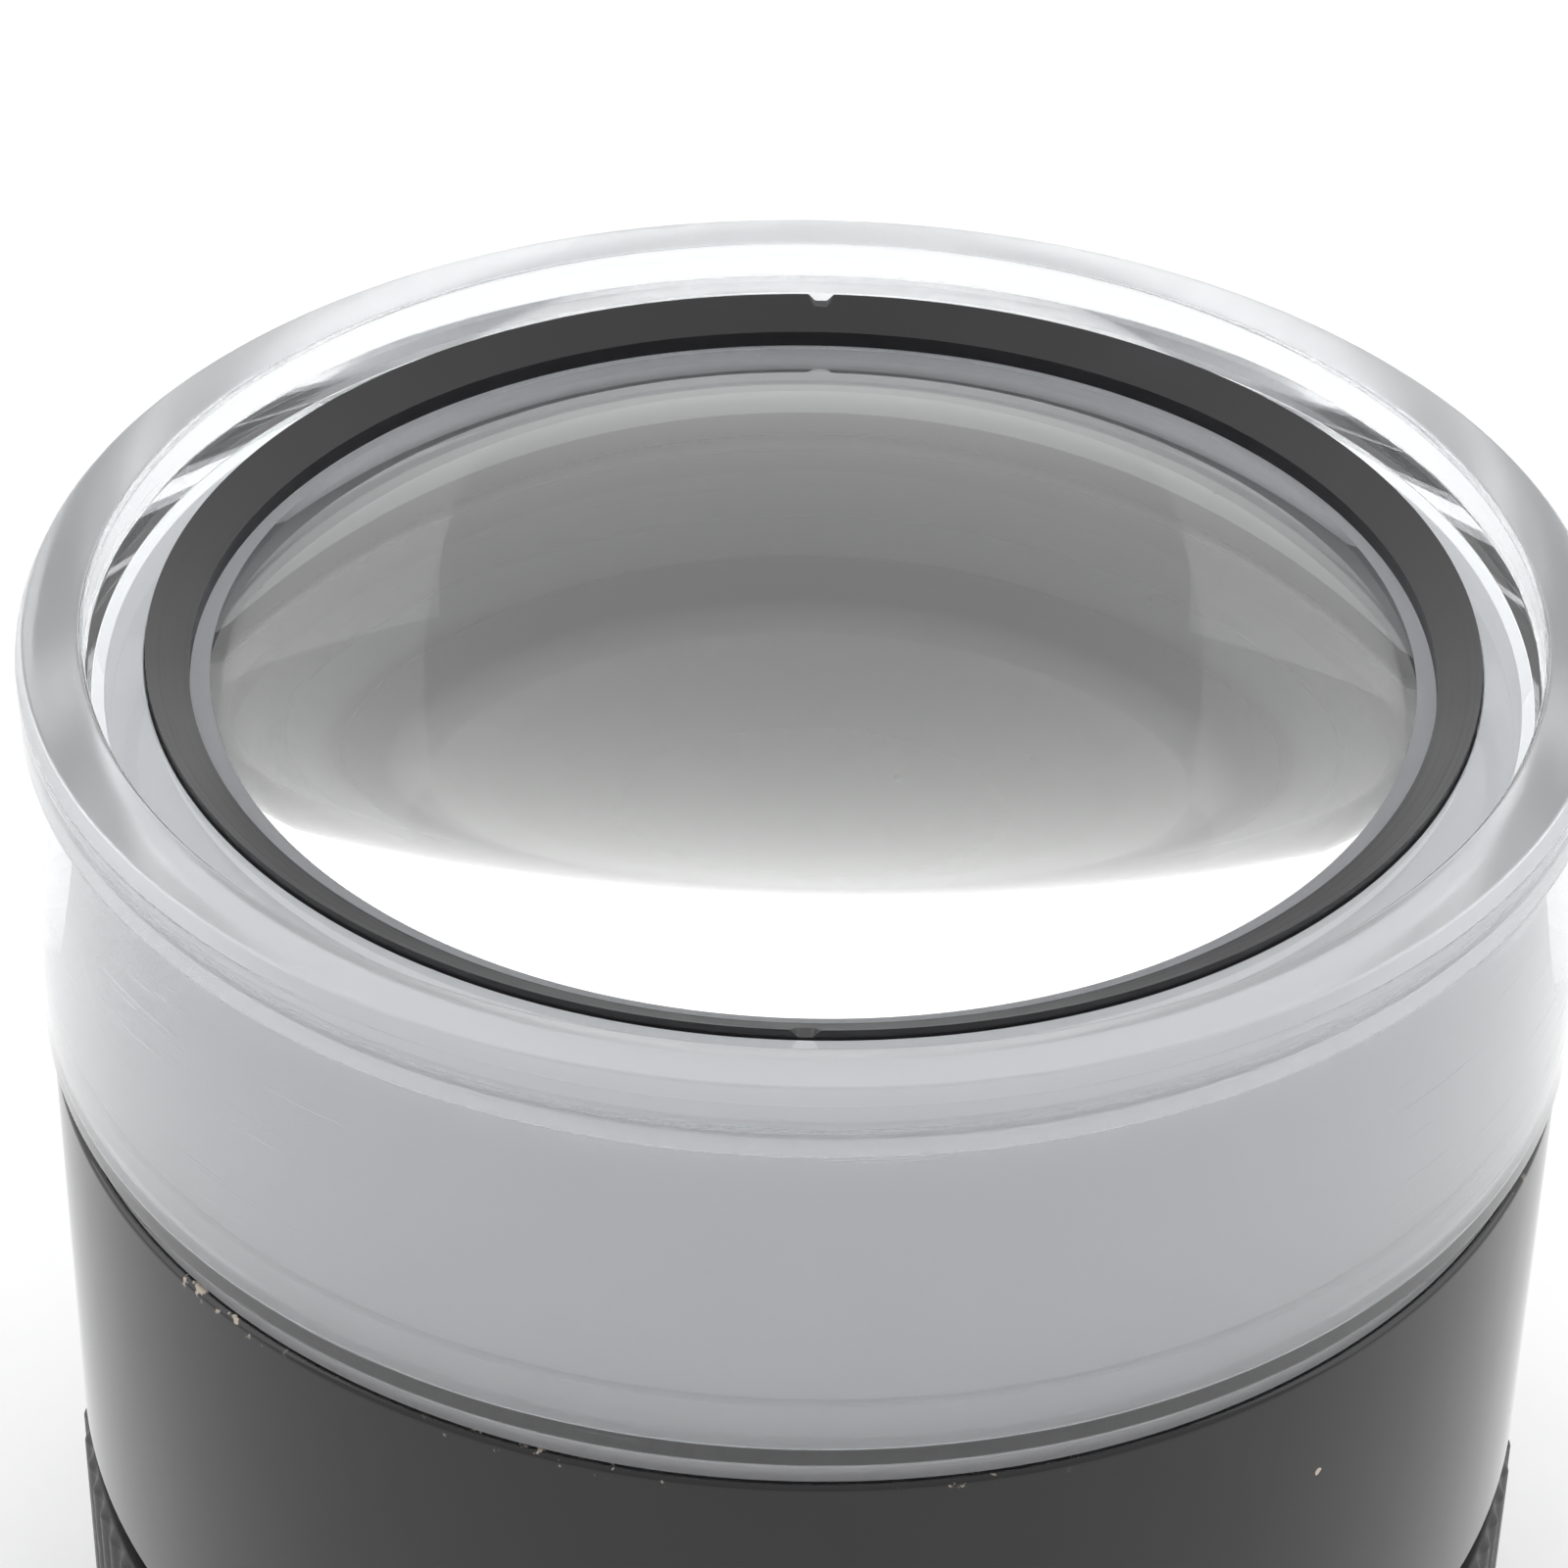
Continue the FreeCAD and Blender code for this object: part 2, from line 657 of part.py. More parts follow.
def lower_lens():
    """Flat-topped lower lens, domed towards the subject."""
    foot = "lower_lens_edge_foot - " + sag("lower_lens_back_curve", "doublet_seat_edge")
    turned("lower_lens", [
        ("0", "lower_lens_top"),
        ("lower_lens_radius", "lower_lens_top"),
        ("lower_lens_radius", "lower_lens_edge_foot"),
        ("doublet_seat_edge", "lower_lens_edge_foot"),
        ("0", foot),
    ], domes=(3,))


def lower_retaining_ring():
    """Ring that holds the lower lenses, with two spanner notches underneath."""
    body = turned("lower_retaining_ring", [
        ("lower_ring_bore", "carriage_foot"),
        ("carriage_thread_radius - thread_gap", "carriage_foot"),
        ("carriage_thread_radius - thread_gap", "lower_lens_edge_foot - fit_gap"),
        ("lower_ring_bore", "lower_lens_edge_foot - fit_gap"),
    ])
    notch = new_sketch(body, "lower_ring_notch_outline", "XZ_Plane")
    closed_section_signed(notch, [
        ("lower_ring_notch / 2", "carriage_foot - lower_ring_notch"),
        ("lower_ring_notch / 2", "carriage_foot + lower_ring_notch / 2"),
    ])
    cut(body, "lower_ring_notches", notch, "collar_radius * 2", both_ways=True)


def focus_group_parts():
    """Everything that the carriage carries."""
    lens_carriage()
    radial_pins("cam_followers", "follower_radius", "follower_inner", "follower_outer",
                "cam_height", "cam_starts", 90.0)
    ring_of("glare_stop", "stop_aperture", "carriage_stop_bore - fit_gap",
            "carriage_top - stop_thickness", "carriage_top")
    doublet()
    ring_of("lower_spacer", "spacer_bore", "lower_lens_radius",
            "lower_lens_top + fit_gap", "doublet_foot - fit_gap")
    lower_lens()
    lower_retaining_ring()


def foot_ring():
    """Ring screwed to the sleeve's foot; it keeps the focusing ring on and guards the lower lens."""
    body = turned("foot_ring", [
        ("end_lip_bore", "end_foot"),
        ("rest_bore - fit_gap", "end_foot"),
        ("rest_bore - fit_gap", "rest_top"),
        ("rest_radius + fit_gap", "rest_top"),
        ("rest_radius + fit_gap", "end_foot"),
        ("end_radius", "end_foot + fit_gap"),
        ("end_radius", "sleeve_foot - end_chamfer"),
        ("end_radius - end_chamfer", "sleeve_foot"),
        ("end_bore", "sleeve_foot"),
        ("end_bore", "end_lip_top"),
        ("end_lip_bore", "end_lip_top"),
    ])
    hole = round_hole(body, "end_screw_outline", ("0", "0 - screw_circle"), "screw_hole")
    drill = cut(body, "end_screw_hole", hole, "rim_height", backwards=True)
    pattern_round(body, drill, "screw_count")
    recess = round_hole(body, "end_head_outline", ("0", "0 - screw_circle"), "screw_head_hole")
    sink = cut(body, "end_screw_recess", recess, "screw_head_seat", backwards=True)
    pattern_round(body, sink, "screw_count")


def foot_ring_screws():
    """Three cheese-head screws from below, as one group."""
    group = doc.addObject("Part::MultiFuse", "foot_ring_screws_group")
    group.Label = "foot_ring_screws"
    parts = []
    for index in range(int(cell("screw_count"))):
        turn = math.radians(-90.0 + index * 360.0 / cell("screw_count"))
        middle = FreeCAD.Vector(math.cos(turn), math.sin(turn), 0) * cell("screw_circle")
        shank = doc.addObject("Part::Cylinder", f"end_screw_shank_{index}")
        shank.setExpression("Radius", link("screw_radius"))
        shank.setExpression("Height", link("screw_tip - screw_head_seat"))
        shank.Placement.Base = middle + FreeCAD.Vector(0, 0, cell("screw_head_seat"))
        head = doc.addObject("Part::Cylinder", f"end_screw_head_{index}")
        head.setExpression("Radius", link("screw_head_radius"))
        head.setExpression("Height", link("screw_head_height"))
        head.Placement.Base = middle + FreeCAD.Vector(0, 0, number("screw_head_seat - screw_head_height"))
        parts += [shank, head]
    group.Shapes = parts
    pieces.append(group)
    doc.recompute()


def rubber_foot():
    """Rubber ring that the magnifier stands on."""
    turned("rubber_foot", [
        ("rest_bore", "rest_edge"),
        ("rest_bore + rest_edge", "0"),
        ("rest_radius - rest_edge", "0"),
        ("rest_radius", "rest_edge"),
        ("rest_radius", "rest_top - fit_gap"),
        ("rest_bore", "rest_top - fit_gap"),
    ])


# --- build, check, export --------------------------------------------------------------------


def check_and_export():
    """Stops on any failed object, then writes each piece to its own file."""
    doc.recompute()
    for item in doc.Objects:
        if "Invalid" in item.State or "Error" in item.State:
            raise RuntimeError(f"{item.Label} failed: {item.State}")
    os.makedirs("parts", exist_ok=True)
    for piece in pieces:
        shape = piece.Shape
        if shape.isNull() or not shape.isValid():
            raise RuntimeError(f"{piece.Label} has no valid shape")
        shape.exportStep(f"parts/{piece.Label}.step")
        box = shape.BoundBox
        print(f"{piece.Label:24s} solids {len(shape.Solids)} volume {shape.Volume:10.1f} "
              f"z {box.ZMin:6.2f} to {box.ZMax:6.2f}")


fill_sheet()
clear_collar()
collar_gasket()
lens_cell()
field_lens()
field_retaining_ring()
middle_lens()
middle_retaining_ring()
barrel()
focusing_ring_parts()
focus_group_parts()
foot_ring()
foot_ring_screws()
rubber_foot()
check_and_export()
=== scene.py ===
"""Looks of the focusing stand magnifier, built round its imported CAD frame.

Everything is in metres in the CAD frame: +Z is the optical axis, the rubber foot stands at z = 0
and the clear collar with the domed lens is on top.
"""

import logging
import math
from dataclasses import dataclass, field
from enum import Enum
from typing import Callable, Optional, Sequence

import bpy
import numpy as np
from mathutils import Matrix, Vector


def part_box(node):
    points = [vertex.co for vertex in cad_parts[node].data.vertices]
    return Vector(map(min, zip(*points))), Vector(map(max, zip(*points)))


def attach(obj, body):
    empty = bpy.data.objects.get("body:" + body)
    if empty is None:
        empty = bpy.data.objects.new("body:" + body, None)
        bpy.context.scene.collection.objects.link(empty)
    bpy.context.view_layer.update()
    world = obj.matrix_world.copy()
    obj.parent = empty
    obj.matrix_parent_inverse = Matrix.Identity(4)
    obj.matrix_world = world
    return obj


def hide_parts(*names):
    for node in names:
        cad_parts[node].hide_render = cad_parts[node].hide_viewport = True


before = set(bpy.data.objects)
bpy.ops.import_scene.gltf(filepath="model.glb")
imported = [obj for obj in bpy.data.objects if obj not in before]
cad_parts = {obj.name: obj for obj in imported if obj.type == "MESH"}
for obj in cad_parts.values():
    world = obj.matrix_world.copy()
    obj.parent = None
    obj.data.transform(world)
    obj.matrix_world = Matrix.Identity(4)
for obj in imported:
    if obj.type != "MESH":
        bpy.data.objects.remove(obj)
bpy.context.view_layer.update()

logging.basicConfig(level=logging.INFO, format="%(message)s")
log = logging.getLogger("stand_magnifier")

MM = 0.001
SEGMENTS = 256
DOME_STEPS = 48
SHARP_ANGLE = math.radians(24.0)
RAGGEDNESS = 0.22
Warp = Callable[[np.ndarray, np.ndarray, np.ndarray], tuple[np.ndarray, np.ndarray]]


class Body(Enum):
    """The CAD bodies that pieces ride on."""

    STAND = "stand"
    RING = "focusing_ring"
    GROUP = "focus_group"


class Slot(Enum):
    """The record's material slots."""

    ACRYLIC = "acrylic"
    GLASS = "optical_glass"
    FROSTED = "frosted_acrylic"
    BLACK = "black_anodised"
    GLOSS = "gloss_black"
    GRIP = "knurled_black"
    RUBBER = "rubber"


# --- shapes -----------------------------------------------------------------------------------


@dataclass(frozen=True)
class Envelope:
    """Outer radius and height span of a round CAD node."""

    radius: float
    foot: float
    top: float

    @classmethod
    def of(cls, node: str) -> "Envelope":
        """Reads the envelope of a CAD node.

        Args:
            node: Name of the CAD node.

        Returns:
            The envelope, in metres.
        """
        low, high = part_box(node)
        return cls(float(high[0] - low[0]) / 2.0, float(low[2]), float(high[2]))


def dome(curve: float, radius: float, edge_height: float, upwards: bool) -> np.ndarray:
    """Section of a spherical face from the axis to its edge, at even steps of the turn about its centre.

    Args:
        curve: Radius of the sphere.
        radius: Radius of the face's edge.
        edge_height: Height of the edge.
        upwards: Whether the face bulges up.

    Returns:
        Points (radius, height), the first on the axis.
    """
    turn = np.linspace(0.0, math.asin(radius / curve), DOME_STEPS + 1)
    rise = curve * np.cos(turn) - math.sqrt(curve * curve - radius * radius)
    return np.stack([curve * np.sin(turn), edge_height + (rise if upwards else -rise)], axis=1)


def eased(corners: Sequence[tuple[float, float]], easing: float, steps: int = 3) -> np.ndarray:
    """Rounds every corner of a closed section that is off the axis.

    Each corner becomes a quadratic curve from a point on the edge before it to a point on the edge
    after it, both the easing away or a third of the edge, whichever is less.

    Args:
        corners: Corner points (radius, height) in order.
        easing: How far from the corner the rounding starts.
        steps: Parts that each curve has.

    Returns:
        Points of the rounded section.
    """
    points = np.asarray(corners, float)
    before, after = np.roll(points, 1, axis=0) - points, np.roll(points, -1, axis=0) - points
    reach_before = np.minimum(easing, np.linalg.norm(before, axis=1) / 3.0)
    reach_after = np.minimum(easing, np.linalg.norm(after, axis=1) / 3.0)
    start = points + before / np.linalg.norm(before, axis=1)[:, None] * reach_before[:, None]
    end = points + after / np.linalg.norm(after, axis=1)[:, None] * reach_after[:, None]
    t = np.linspace(0.0, 1.0, steps + 1)[None, :, None]
    curve = (1 - t) ** 2 * start[:, None] + 2 * t * (1 - t) * points[:, None] + t**2 * end[:, None]
    return curve.reshape(-1, 2)


def turned(
    name: str,
    section: np.ndarray,
    angles: Optional[np.ndarray] = None,
    warp: Optional[Warp] = None,
    bands: Optional[Callable[[np.ndarray, np.ndarray], np.ndarray]] = None,
) -> bpy.types.Object:
    """Turns a closed section about Z.

    A point is (r cos a, r sin a, z) for each section point (r, z) and each angle a; the warp may
    change r and z over the whole grid. Points on the axis become one pole.

    Args:
        name: Name of the piece.
        section: Points (radius, height) of the closed section.
        angles: Angles round the axis; even ones if left out.
        warp: Changes radius and height from (radius, height, angle) grids.
        bands: Material index of each row of faces, from the radii and heights of their middles.

    Returns:
        The new object, its faces pointing outwards.
    """
    angles = np.linspace(0.0, 2.0 * np.pi, SEGMENTS, endpoint=False) if angles is None else angles
    r, z = section[:, 0], section[:, 1]
    if np.sum(r * np.roll(z, -1) - np.roll(r, -1) * z) < 0:
        section = section[::-1]
        r, z = section[:, 0], section[:, 1]
    rows, columns = len(section), len(angles)
    radius, angle = np.meshgrid(r, angles, indexing="ij")
    height = np.repeat(z[:, None], columns, axis=1)
    if warp is not None:
        radius, height = warp(radius, height, angle)
    grid = np.stack([radius * np.cos(angle), radius * np.sin(angle), height], axis=2)
    on_axis = r < 1e-9
    index = np.arange(rows * columns).reshape(rows, columns)
    index[on_axis] = index[on_axis][:, :1]
    following = np.roll(index, -1, axis=0)
    quads = np.stack(
        [index, np.roll(index, -1, axis=1), np.roll(following, -1, axis=1), following], axis=2
    )
    row_kept = ~(on_axis & np.roll(on_axis, -1))
    pole_first = on_axis & row_kept
    pole_last = np.roll(on_axis, -1) & row_kept
    plain = row_kept & ~pole_first & ~pole_last
    faces = quads[plain].reshape(-1, 4).tolist()
    faces += quads[pole_first][:, :, [0, 2, 3]].reshape(-1, 3).tolist()
    faces += quads[pole_last][:, :, [0, 1, 2]].reshape(-1, 3).tolist()
    mesh = bpy.data.meshes.new(name)
    used, packed = np.unique(np.concatenate([np.ravel(f) for f in faces]), return_inverse=True)
    ends = np.cumsum([len(f) for f in faces])
    packed_faces = [part.tolist() for part in np.split(packed, ends[:-1])]
    mesh.from_pydata(grid.reshape(-1, 3)[used], [], packed_faces)
    if bands is not None:
        middle_r, middle_z = (r + np.roll(r, -1)) / 2.0, (z + np.roll(z, -1)) / 2.0
        row_band = bands(middle_r, middle_z)
        order = np.concatenate([np.flatnonzero(plain), np.flatnonzero(pole_first), np.flatnonzero(pole_last)])
        mesh.polygons.foreach_set("material_index", np.repeat(row_band[order], columns).astype(np.int32))
    mesh.shade_smooth()
    mesh.set_sharp_from_angle(angle=SHARP_ANGLE)
    mesh.update()
    piece = bpy.data.objects.new(name, mesh)
    bpy.context.scene.collection.objects.link(piece)
    return piece


def seat(piece: bpy.types.Object, body: Body, nodes: Sequence[str], finishes: Sequence) -> None:
    """Gives a new piece its finishes, its body and the CAD nodes that it stands for.

    Args:
        piece: The new piece.
        body: Body that it rides on.
        nodes: CAD nodes that it replaces.
        finishes: Finishes, in the order of the mesh's material indices.
    """
    indices = np.zeros(len(piece.data.polygons), np.int32)
    piece.data.polygons.foreach_get("material_index", indices)
    for finish in finishes:
        piece.data.materials.append(finish.material())
    piece.data.polygons.foreach_set("material_index", indices)
    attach(piece, body.value)
    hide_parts(*nodes)
    log.info("%s: %d faces on %s", piece.name, len(piece.data.polygons), body.value)


# --- finishes ---------------------------------------------------------------------------------


def linear(hex_colour: str) -> tuple[float, float, float, float]:
    """Turns an sRGB hex colour into linear values.

    Args:
        hex_colour: Six hex digits after a #.

    Returns:
        Linear red, green and blue, and an alpha of 1.
    """
    channels = [int(hex_colour[i : i + 2], 16) / 255.0 for i in (1, 3, 5)]
    low_high = [c / 12.92 if c <= 0.04045 else ((c + 0.055) / 1.055) ** 2.4 for c in channels]
    return (low_high[0], low_high[1], low_high[2], 1.0)


def add(tree: bpy.types.NodeTree, kind: str, inputs: Optional[dict] = None, **settings) -> bpy.types.Node:
    """Adds a node with its settings and links.

    Args:
        tree: Tree that gets the node.
        kind: The node's type.
        inputs: Values or output sockets by input name or number.
        settings: Attributes of the node itself.

    Returns:
        The new node.
    """
    node = tree.nodes.new(kind)
    for key, value in settings.items():
        setattr(node, key, value)
    for key, value in (inputs or {}).items():
        if isinstance(value, bpy.types.NodeSocket):
            tree.links.new(value, node.inputs[key])
        else:
            node.inputs[key].default_value = value
    return node


def new_material(name: str, viewport: tuple) -> tuple[bpy.types.Material, bpy.types.NodeTree, bpy.types.Node]:
    """Starts a material with one Principled shader.

    Args:
        name: Name of the material.
        viewport: Colour for solid views.

    Returns:
        The material, its tree and its shader.
    """
    material = bpy.data.materials.new(name)
    material.use_nodes = True
    material.diffuse_color = viewport
    tree = material.node_tree
    return material, tree, tree.nodes["Principled BSDF"]


def stretched(tree: bpy.types.NodeTree, scale: Sequence[float] = (1.0, 1.0, 1.0)) -> bpy.types.NodeSocket:
    """Object coordinates times a scale for each axis.

    Args:
        tree: Tree that gets the nodes.
        scale: Factors for x, y and z.

    Returns:
        The vector socket.
    """
    place = add(tree, "ShaderNodeTexCoord")
    scaled = add(tree, "ShaderNodeMapping", {"Vector": place.outputs["Object"], "Scale": scale})
    return scaled.outputs["Vector"]


def specks(tree: bpy.types.NodeTree, spacing: float, share: float, size: float) -> bpy.types.NodeSocket:
    """Scattered specks: the hearts of those Voronoi cells whose random value is under a share.

    Args:
        tree: Tree that gets the nodes.
        spacing: Width of a cell, in metres.
        share: Share of the cells that hold a speck.
        size: Radius of a speck as a share of the spacing.

    Returns:
        A mask of 1 on specks and 0 elsewhere.
    """
    place = stretched(tree)
    ragged = add(tree, "ShaderNodeTexNoise", {"Vector": place, "Scale": 3.0 / spacing, "Detail": 2.0})
    bent = add(tree, "ShaderNodeVectorMath", {0: ragged.outputs["Color"], "Scale": spacing * RAGGEDNESS},
               operation="SCALE")
    moved = add(tree, "ShaderNodeVectorMath", {0: place, 1: bent.outputs["Vector"]}, operation="ADD")
    cells = add(tree, "ShaderNodeTexVoronoi", {"Vector": moved.outputs["Vector"], "Scale": 1.0 / spacing})
    near = add(tree, "ShaderNodeMath", {0: cells.outputs["Distance"], 1: size}, operation="LESS_THAN")
    pick = add(tree, "ShaderNodeSeparateColor", {"Color": cells.outputs["Color"]})
    chosen = add(tree, "ShaderNodeMath", {0: pick.outputs["Red"], 1: share}, operation="LESS_THAN")
    both = add(tree, "ShaderNodeMath", {0: near.outputs[0], 1: chosen.outputs[0]}, operation="MULTIPLY")
    return both.outputs[0]


def axis_distance(tree: bpy.types.NodeTree) -> bpy.types.NodeSocket:
    """Distance from the Z axis: the length of the x and y parts of the object coordinates."""
    flat = stretched(tree, (1.0, 1.0, 0.0))
    return add(tree, "ShaderNodeVectorMath", {0: flat}, operation="LENGTH").outputs["Value"]


def ramp(tree: bpy.types.NodeTree, value: bpy.types.NodeSocket, low: float, high: float,
         from_low: float = 0.0, from_high: float = 1.0) -> bpy.types.NodeSocket:
    """A value carried from one range to another and held at its ends.

    Args:
        tree: Tree that gets the node.
        value: Incoming value.
        low: Result at from_low.
        high: Result at from_high.
        from_low: Start of the incoming range.
        from_high: End of the incoming range.

    Returns:
        The carried value.
    """
    inputs = {"Value": value, "From Min": from_low, "From Max": from_high, "To Min": low, "To Max": high}
    return add(tree, "ShaderNodeMapRange", inputs).outputs["Result"]


def bump(tree: bpy.types.NodeTree, shader: bpy.types.Node, height: bpy.types.NodeSocket, strength: float,
         relief: float) -> bpy.types.NodeSocket:
    """Gives a shader a relief from a height value.

    Args:
        tree: Tree that gets the node.
        shader: Shader whose normal is bent.
        height: Height from 0 to 1.
        strength: Share of the effect.
        relief: Real height of a full step, in metres.

    Returns:
        The bent normal.
    """
    inputs = {"Height": height, "Strength": strength, "Distance": relief}
    normal = add(tree, "ShaderNodeBump", inputs).outputs["Normal"]
    tree.links.new(normal, shader.inputs["Normal"])
    return normal


def blend_colours(tree: bpy.types.NodeTree, mask: bpy.types.NodeSocket, first: str,
                  second: str) -> bpy.types.NodeSocket:
    """Mixes two hex colours by a mask.

    Args:
        tree: Tree that gets the node.
        mask: 0 for the first colour, 1 for the second.
        first: Hex colour.
        second: Hex colour.

    Returns:
        The colour socket.
    """
    mix = add(tree, "ShaderNodeMix", {0: mask, 6: linear(first), 7: linear(second)}, data_type="RGBA")
    return mix.outputs[2]


@dataclass(frozen=True)
class PolishedAcrylic:
    """Cast acrylic, turned and flame polished: crystal clear with hairline rubbing marks.

    The eye sees the surroundings bent through it, bright edges, and a few fine marks in the sheen.
    """

    name: str = "polished_cast_acrylic"
    colour: str = "#FAFCFD"
    ior: float = 1.49
    clear: float = 0.95
    frost: float = 0.0
    rubbed: float = 0.16
    hairline: float = 0.12 * MM
    hairline_length: float = 14.0 * MM

    def material(self) -> bpy.types.Material:
        """Builds the material once and returns it."""
        if self.name in bpy.data.materials:
            return bpy.data.materials[self.name]
        material, tree, shader = new_material(self.name, (0.9, 0.93, 0.95, 0.3))
        shader.inputs["Base Color"].default_value = linear(self.colour)
        shader.inputs["IOR"].default_value = self.ior
        shader.inputs["Transmission Weight"].default_value = self.clear
        # Rubbing marks run round the wall: noise stretched a hundredfold, kept only where it peaks.
        along, across = 1.0 / self.hairline_length, 1.0 / self.hairline
        long_way = stretched(tree, (along, along, across))
        marks = add(tree, "ShaderNodeTexNoise", {"Vector": long_way, "Scale": 1.0, "Detail": 1.0})
        peak = ramp(tree, marks.outputs["Fac"], 0.0, 1.0, 0.70, 0.78)
        dust = specks(tree, 2.2 * MM, 0.10, 0.05)
        rough = add(tree, "ShaderNodeMath", {0: peak, 1: dust}, operation="MAXIMUM")
        haze = ramp(tree, rough.outputs[0], self.frost, self.frost + self.rubbed)
        tree.links.new(haze, shader.inputs["Roughness"])
        # Marks are really a few microns deep; the bump is about ten times that so that they show.
        bump(tree, shader, rough.outputs[0], 0.25, 0.02 * MM)
        return material


@dataclass(frozen=True)
class GroundAcrylic:
    """The collar's foot face and thread as sawn and ground: a fine frost that scatters light."""

    name: str = "ground_acrylic_face"
    colour: str = "#F3F4F6"
    ior: float = 1.49
    grit: float = 0.15 * MM

    def material(self) -> bpy.types.Material:
        """Builds the material once and returns it."""
        if self.name in bpy.data.materials:
            return bpy.data.materials[self.name]
        material, tree, shader = new_material(self.name, (0.9, 0.92, 0.93, 0.6))
        shader.inputs["Base Color"].default_value = linear(self.colour)
        shader.inputs["IOR"].default_value = self.ior
        shader.inputs["Transmission Weight"].default_value = 0.1
        grain = add(tree, "ShaderNodeTexNoise", {"Vector": stretched(tree),
                                                 "Scale": 1.0 / self.grit, "Detail": 2.0})
        tree.links.new(ramp(tree, grain.outputs["Fac"], 0.40, 0.65), shader.inputs["Roughness"])
        return material


@dataclass(frozen=True)
class CoatedGlass:
    """Optical glass with polished, coated faces: almost no colour and a few grains of dust."""

    name: str = "polished_optical_glass"
    colour: str = "#FDFEFD"
    ior: float = 1.5
    dust_spacing: float = 3.0 * MM

    def material(self) -> bpy.types.Material:
        """Builds the material once and returns it."""
        if self.name in bpy.data.materials:
            return bpy.data.materials[self.name]
        material, tree, shader = new_material(self.name, (0.88, 0.92, 0.95, 0.3))
        shader.inputs["Base Color"].default_value = linear(self.colour)
        shader.inputs["IOR"].default_value = self.ior
        shader.inputs["Transmission Weight"].default_value = 1.0
        dust = specks(tree, self.dust_spacing, 0.12, 0.035)
        tree.links.new(ramp(tree, dust, 0.0, 0.30), shader.inputs["Roughness"])
        return material


@dataclass(frozen=True)
class GroundGlass:
    """Glass or acrylic ground with fine grit: an even white that scatters light and lets most of it by.

    The lens edges and the frosted cell have it: fine noise in the tone, the sheen and the relief.
    """

    name: str = "fine_ground_glass_edge"
    colour: str = "#EBEBED"
    shade: str = "#E0E0E2"
    glow: str = "#F8F8F9"
    grit: float = 0.12 * MM
    passed: float = 0.65

    def material(self) -> bpy.types.Material:
        """Builds the material once and returns it."""
        if self.name in bpy.data.materials:
            return bpy.data.materials[self.name]
        material, tree, shader = new_material(self.name, (0.85, 0.86, 0.86, 1.0))
        grain = add(tree, "ShaderNodeTexNoise", {"Vector": stretched(tree),
                                                 "Scale": 1.0 / self.grit, "Detail": 3.0})
        tone = blend_colours(tree, grain.outputs["Fac"], self.shade, self.colour)
        tree.links.new(tone, shader.inputs["Base Color"])
        shader.inputs["Specular IOR Level"].default_value = 0.0
        tree.links.new(ramp(tree, grain.outputs["Fac"], 0.75, 0.95), shader.inputs["Roughness"])
        rough = bump(tree, shader, grain.outputs["Fac"], 0.1, 0.01 * MM)
        through = add(tree, "ShaderNodeBsdfTranslucent", {"Color": linear(self.glow), "Normal": rough})
        both = add(tree, "ShaderNodeMixShader", {0: self.passed, 1: shader.outputs[0], 2: through.outputs[0]})
        tree.links.new(both.outputs[0], tree.nodes["Material Output"].inputs["Surface"])
        return material


@dataclass(frozen=True)
class TurnedMetal:
    """A metal turned on a lathe and then finished: fine rings round the axis, slightly uneven sheen."""

    name: str
    colour: str
    worn: str
    metallic: float
    roughness: float
    pitch: float = 0.18 * MM
    relief: float = 0.004 * MM

    def material(self) -> bpy.types.Material:
        """Builds the material once and returns it."""
        if self.name in bpy.data.materials:
            return bpy.data.materials[self.name]
        material, tree, shader = new_material(self.name, linear(self.colour))
        shader.inputs["Metallic"].default_value = self.metallic
        # Tool marks: noise that changes with height and with the distance from the axis, not round it.
        place = add(tree, "ShaderNodeSeparateXYZ", {"Vector": stretched(tree)})
        reach = axis_distance(tree)
        marks = add(tree, "ShaderNodeCombineXYZ", {"X": reach, "Y": place.outputs["Z"]})
        rings = add(tree, "ShaderNodeTexNoise", {"Vector": marks.outputs["Vector"], "Scale": 1.0 / self.pitch,
                                                 "Detail": 2.0})
        cloud = add(tree, "ShaderNodeTexNoise", {"Vector": stretched(tree), "Scale": 120.0,
                                                 "Detail": 4.0})
        scuff = ramp(tree, cloud.outputs["Fac"], 0.0, 1.0, 0.55, 0.80)
        tree.links.new(blend_colours(tree, scuff, self.colour, self.worn), shader.inputs["Base Color"])
        uneven = add(tree, "ShaderNodeMath", {0: rings.outputs["Fac"], 1: cloud.outputs["Fac"]},
                     operation="MULTIPLY")
        tree.links.new(ramp(tree, uneven.outputs[0], self.roughness * 0.8, self.roughness * 1.25, 0.1, 0.45),
                       shader.inputs["Roughness"])
        bump(tree, shader, rings.outputs["Fac"], 0.5, self.relief)
        return material


